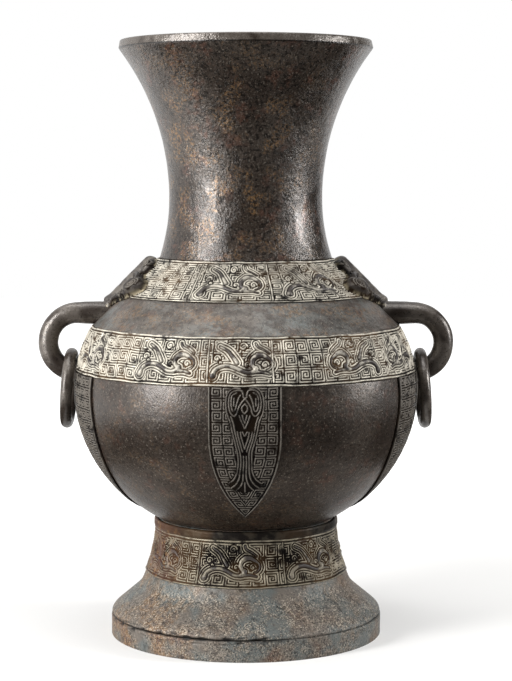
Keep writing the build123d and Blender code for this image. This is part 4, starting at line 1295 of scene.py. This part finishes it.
class HU_OT_stage(bpy.types.Operator):
    """Set the pale floor, the soft studio light and the camera"""

    bl_idname = "hu.stage"
    bl_label = "Stage"

    def execute(self, context):
        scene = context.scene
        scene.view_settings.view_transform = "Standard"
        self.lay_floor(scene)
        self.light_world(scene)
        for name, place, size, radiance in LAMPS:
            lamp = bpy.data.lights.new(name, "AREA")
            lamp.shape = "RECTANGLE"
            lamp.size, lamp.size_y = size
            lamp.energy = math.pi * radiance * size[0] * size[1]
            holder = bpy.data.objects.new(name, lamp)
            holder.location = place
            holder.rotation_euler = (LAMP_AIM - Vector(place)).to_track_quat("-Z", "Y").to_euler()
            scene.collection.objects.link(holder)
        self.hang_flags(scene)
        camera = bpy.data.cameras.new("photo_camera")
        camera.sensor_width = CAMERA_SENSOR
        camera.lens = CAMERA_LENS
        camera.clip_end = CAMERA_END
        holder = bpy.data.objects.new("photo_camera", camera)
        holder.location = CAMERA_PLACE
        holder.rotation_euler = (CAMERA_TILT, 0, 0)
        scene.collection.objects.link(holder)
        scene.camera = holder
        return {"FINISHED"}

    def lay_floor(self, scene):
        """White paper on the floor, which keeps the shadow near the vessel and is white farther off."""
        near, far = 0.22, 0.68
        half = FLOOR_HALF
        mesh = bpy.data.meshes.new("paper_floor")
        corners = [(-half, -half, 0), (half, -half, 0), (half, half, 0), (-half, half, 0)]
        mesh.from_pydata(corners, [], [(0, 1, 2, 3)])
        floor = bpy.data.objects.new("paper_floor", mesh)
        scene.collection.objects.link(floor)
        material, tree, shader, place = start_finish("white_paper")
        shader.inputs["Base Color"].default_value = (*scene.hu_colours.floor, 1.0)
        shader.inputs["Roughness"].default_value = 0.9
        distance = add_node(tree, "ShaderNodeVectorMath", {0: place}, operation="LENGTH").outputs["Value"]
        outward = {"Value": distance, "From Min": near, "From Max": far, "To Min": 0.35, "To Max": 1.0}
        glow = add_node(tree, "ShaderNodeMapRange", outward, interpolation_type="SMOOTHSTEP")
        shader.inputs["Emission Color"].default_value = (*linear("#ffffff"), 1.0)
        strength = together(tree, seen_share(tree), glow.outputs["Result"])
        tree.links.new(strength, shader.inputs["Emission Strength"])
        mesh.materials.append(material)

    def hang_flags(self, scene):
        """Black cloth in front, on the floor there and to the right, seen only in the gloss of the metal."""
        material, _, shader, _ = start_finish("black_cloth")
        shader.inputs["Base Color"].default_value = (*linear("#191919"), 1.0)
        shader.inputs["Roughness"].default_value = 1.0
        shader.inputs["Specular IOR Level"].default_value = 0.0
        # Each upright flag: its two lower corners
        upright = {
            "front_flag": ((FLAG_LEFT, FLAG_FRONT), (FLAG_RIGHT, FLAG_FRONT)),
            "right_flag": ((FLAG_RIGHT, FLAG_FRONT), (FLAG_RIGHT, FLAG_BACK)),
        }
        cloths = {
            name: [(*start, FLAG_LOW), (*stop, FLAG_LOW), (*stop, FLAG_HIGH), (*start, FLAG_HIGH)]
            for name, (start, stop) in upright.items()
        }
        cloths["floor_flag"] = [(*corner, FLAG_LOW) for corner in FLOOR_FLAG]
        for name, points in cloths.items():
            mesh = bpy.data.meshes.new(name)
            mesh.from_pydata(points, [], [range(len(points))])
            mesh.materials.append(material)
            flag = bpy.data.objects.new(name, mesh)
            flag.visible_camera = False
            flag.visible_diffuse = False
            flag.visible_shadow = False
            scene.collection.objects.link(flag)

    def light_world(self, scene):
        """Even white surround, plain grey as a light and white to the eye."""
        world = bpy.data.worlds.new("white_surround")
        world.use_nodes = True
        tree = world.node_tree
        background = tree.nodes["Background"]
        background.inputs["Color"].default_value = (*linear("#ffffff"), 1.0)
        strength = {"Value": seen_share(tree), "To Min": 0.25, "To Max": 1.0}
        level = add_node(tree, "ShaderNodeMapRange", strength)
        tree.links.new(level.outputs["Result"], background.inputs["Strength"])
        scene.world = world


class HU_PT_vessel(bpy.types.Panel):
    """Sizes, colours and pieces of the vessel"""

    bl_idname = "HU_PT_vessel"
    bl_label = "Hu vessel"
    bl_space_type = "VIEW_3D"
    bl_region_type = "UI"
    bl_category = "Hu vessel"

    def draw(self, context):
        layout = self.layout
        for group in (context.scene.hu_sizes, context.scene.hu_colours):
            for name in group.__annotations__:
                layout.prop(group, name)
        for step in STEPS:
            layout.operator(step.bl_idname)


STEPS = (
    HU_OT_stage,
    HU_OT_walls,
    HU_OT_foot,
    HU_OT_hoops,
    HU_OT_blades,
    HU_OT_masks,
    HU_OT_handles,
    HU_OT_rings,
)
CLASSES = (HuSizes, HuColours, *STEPS, HU_PT_vessel)


def register():
    for item in CLASSES:
        bpy.utils.register_class(item)
    bpy.types.Scene.hu_sizes = PointerProperty(type=HuSizes)
    bpy.types.Scene.hu_colours = PointerProperty(type=HuColours)


def unregister():
    del bpy.types.Scene.hu_colours
    del bpy.types.Scene.hu_sizes
    for item in reversed(CLASSES):
        bpy.utils.unregister_class(item)


def main():
    register()
    for step in STEPS:
        group, name = step.bl_idname.split(".")
        getattr(getattr(bpy.ops, group), name)()


if __name__ == "__main__":
    main()
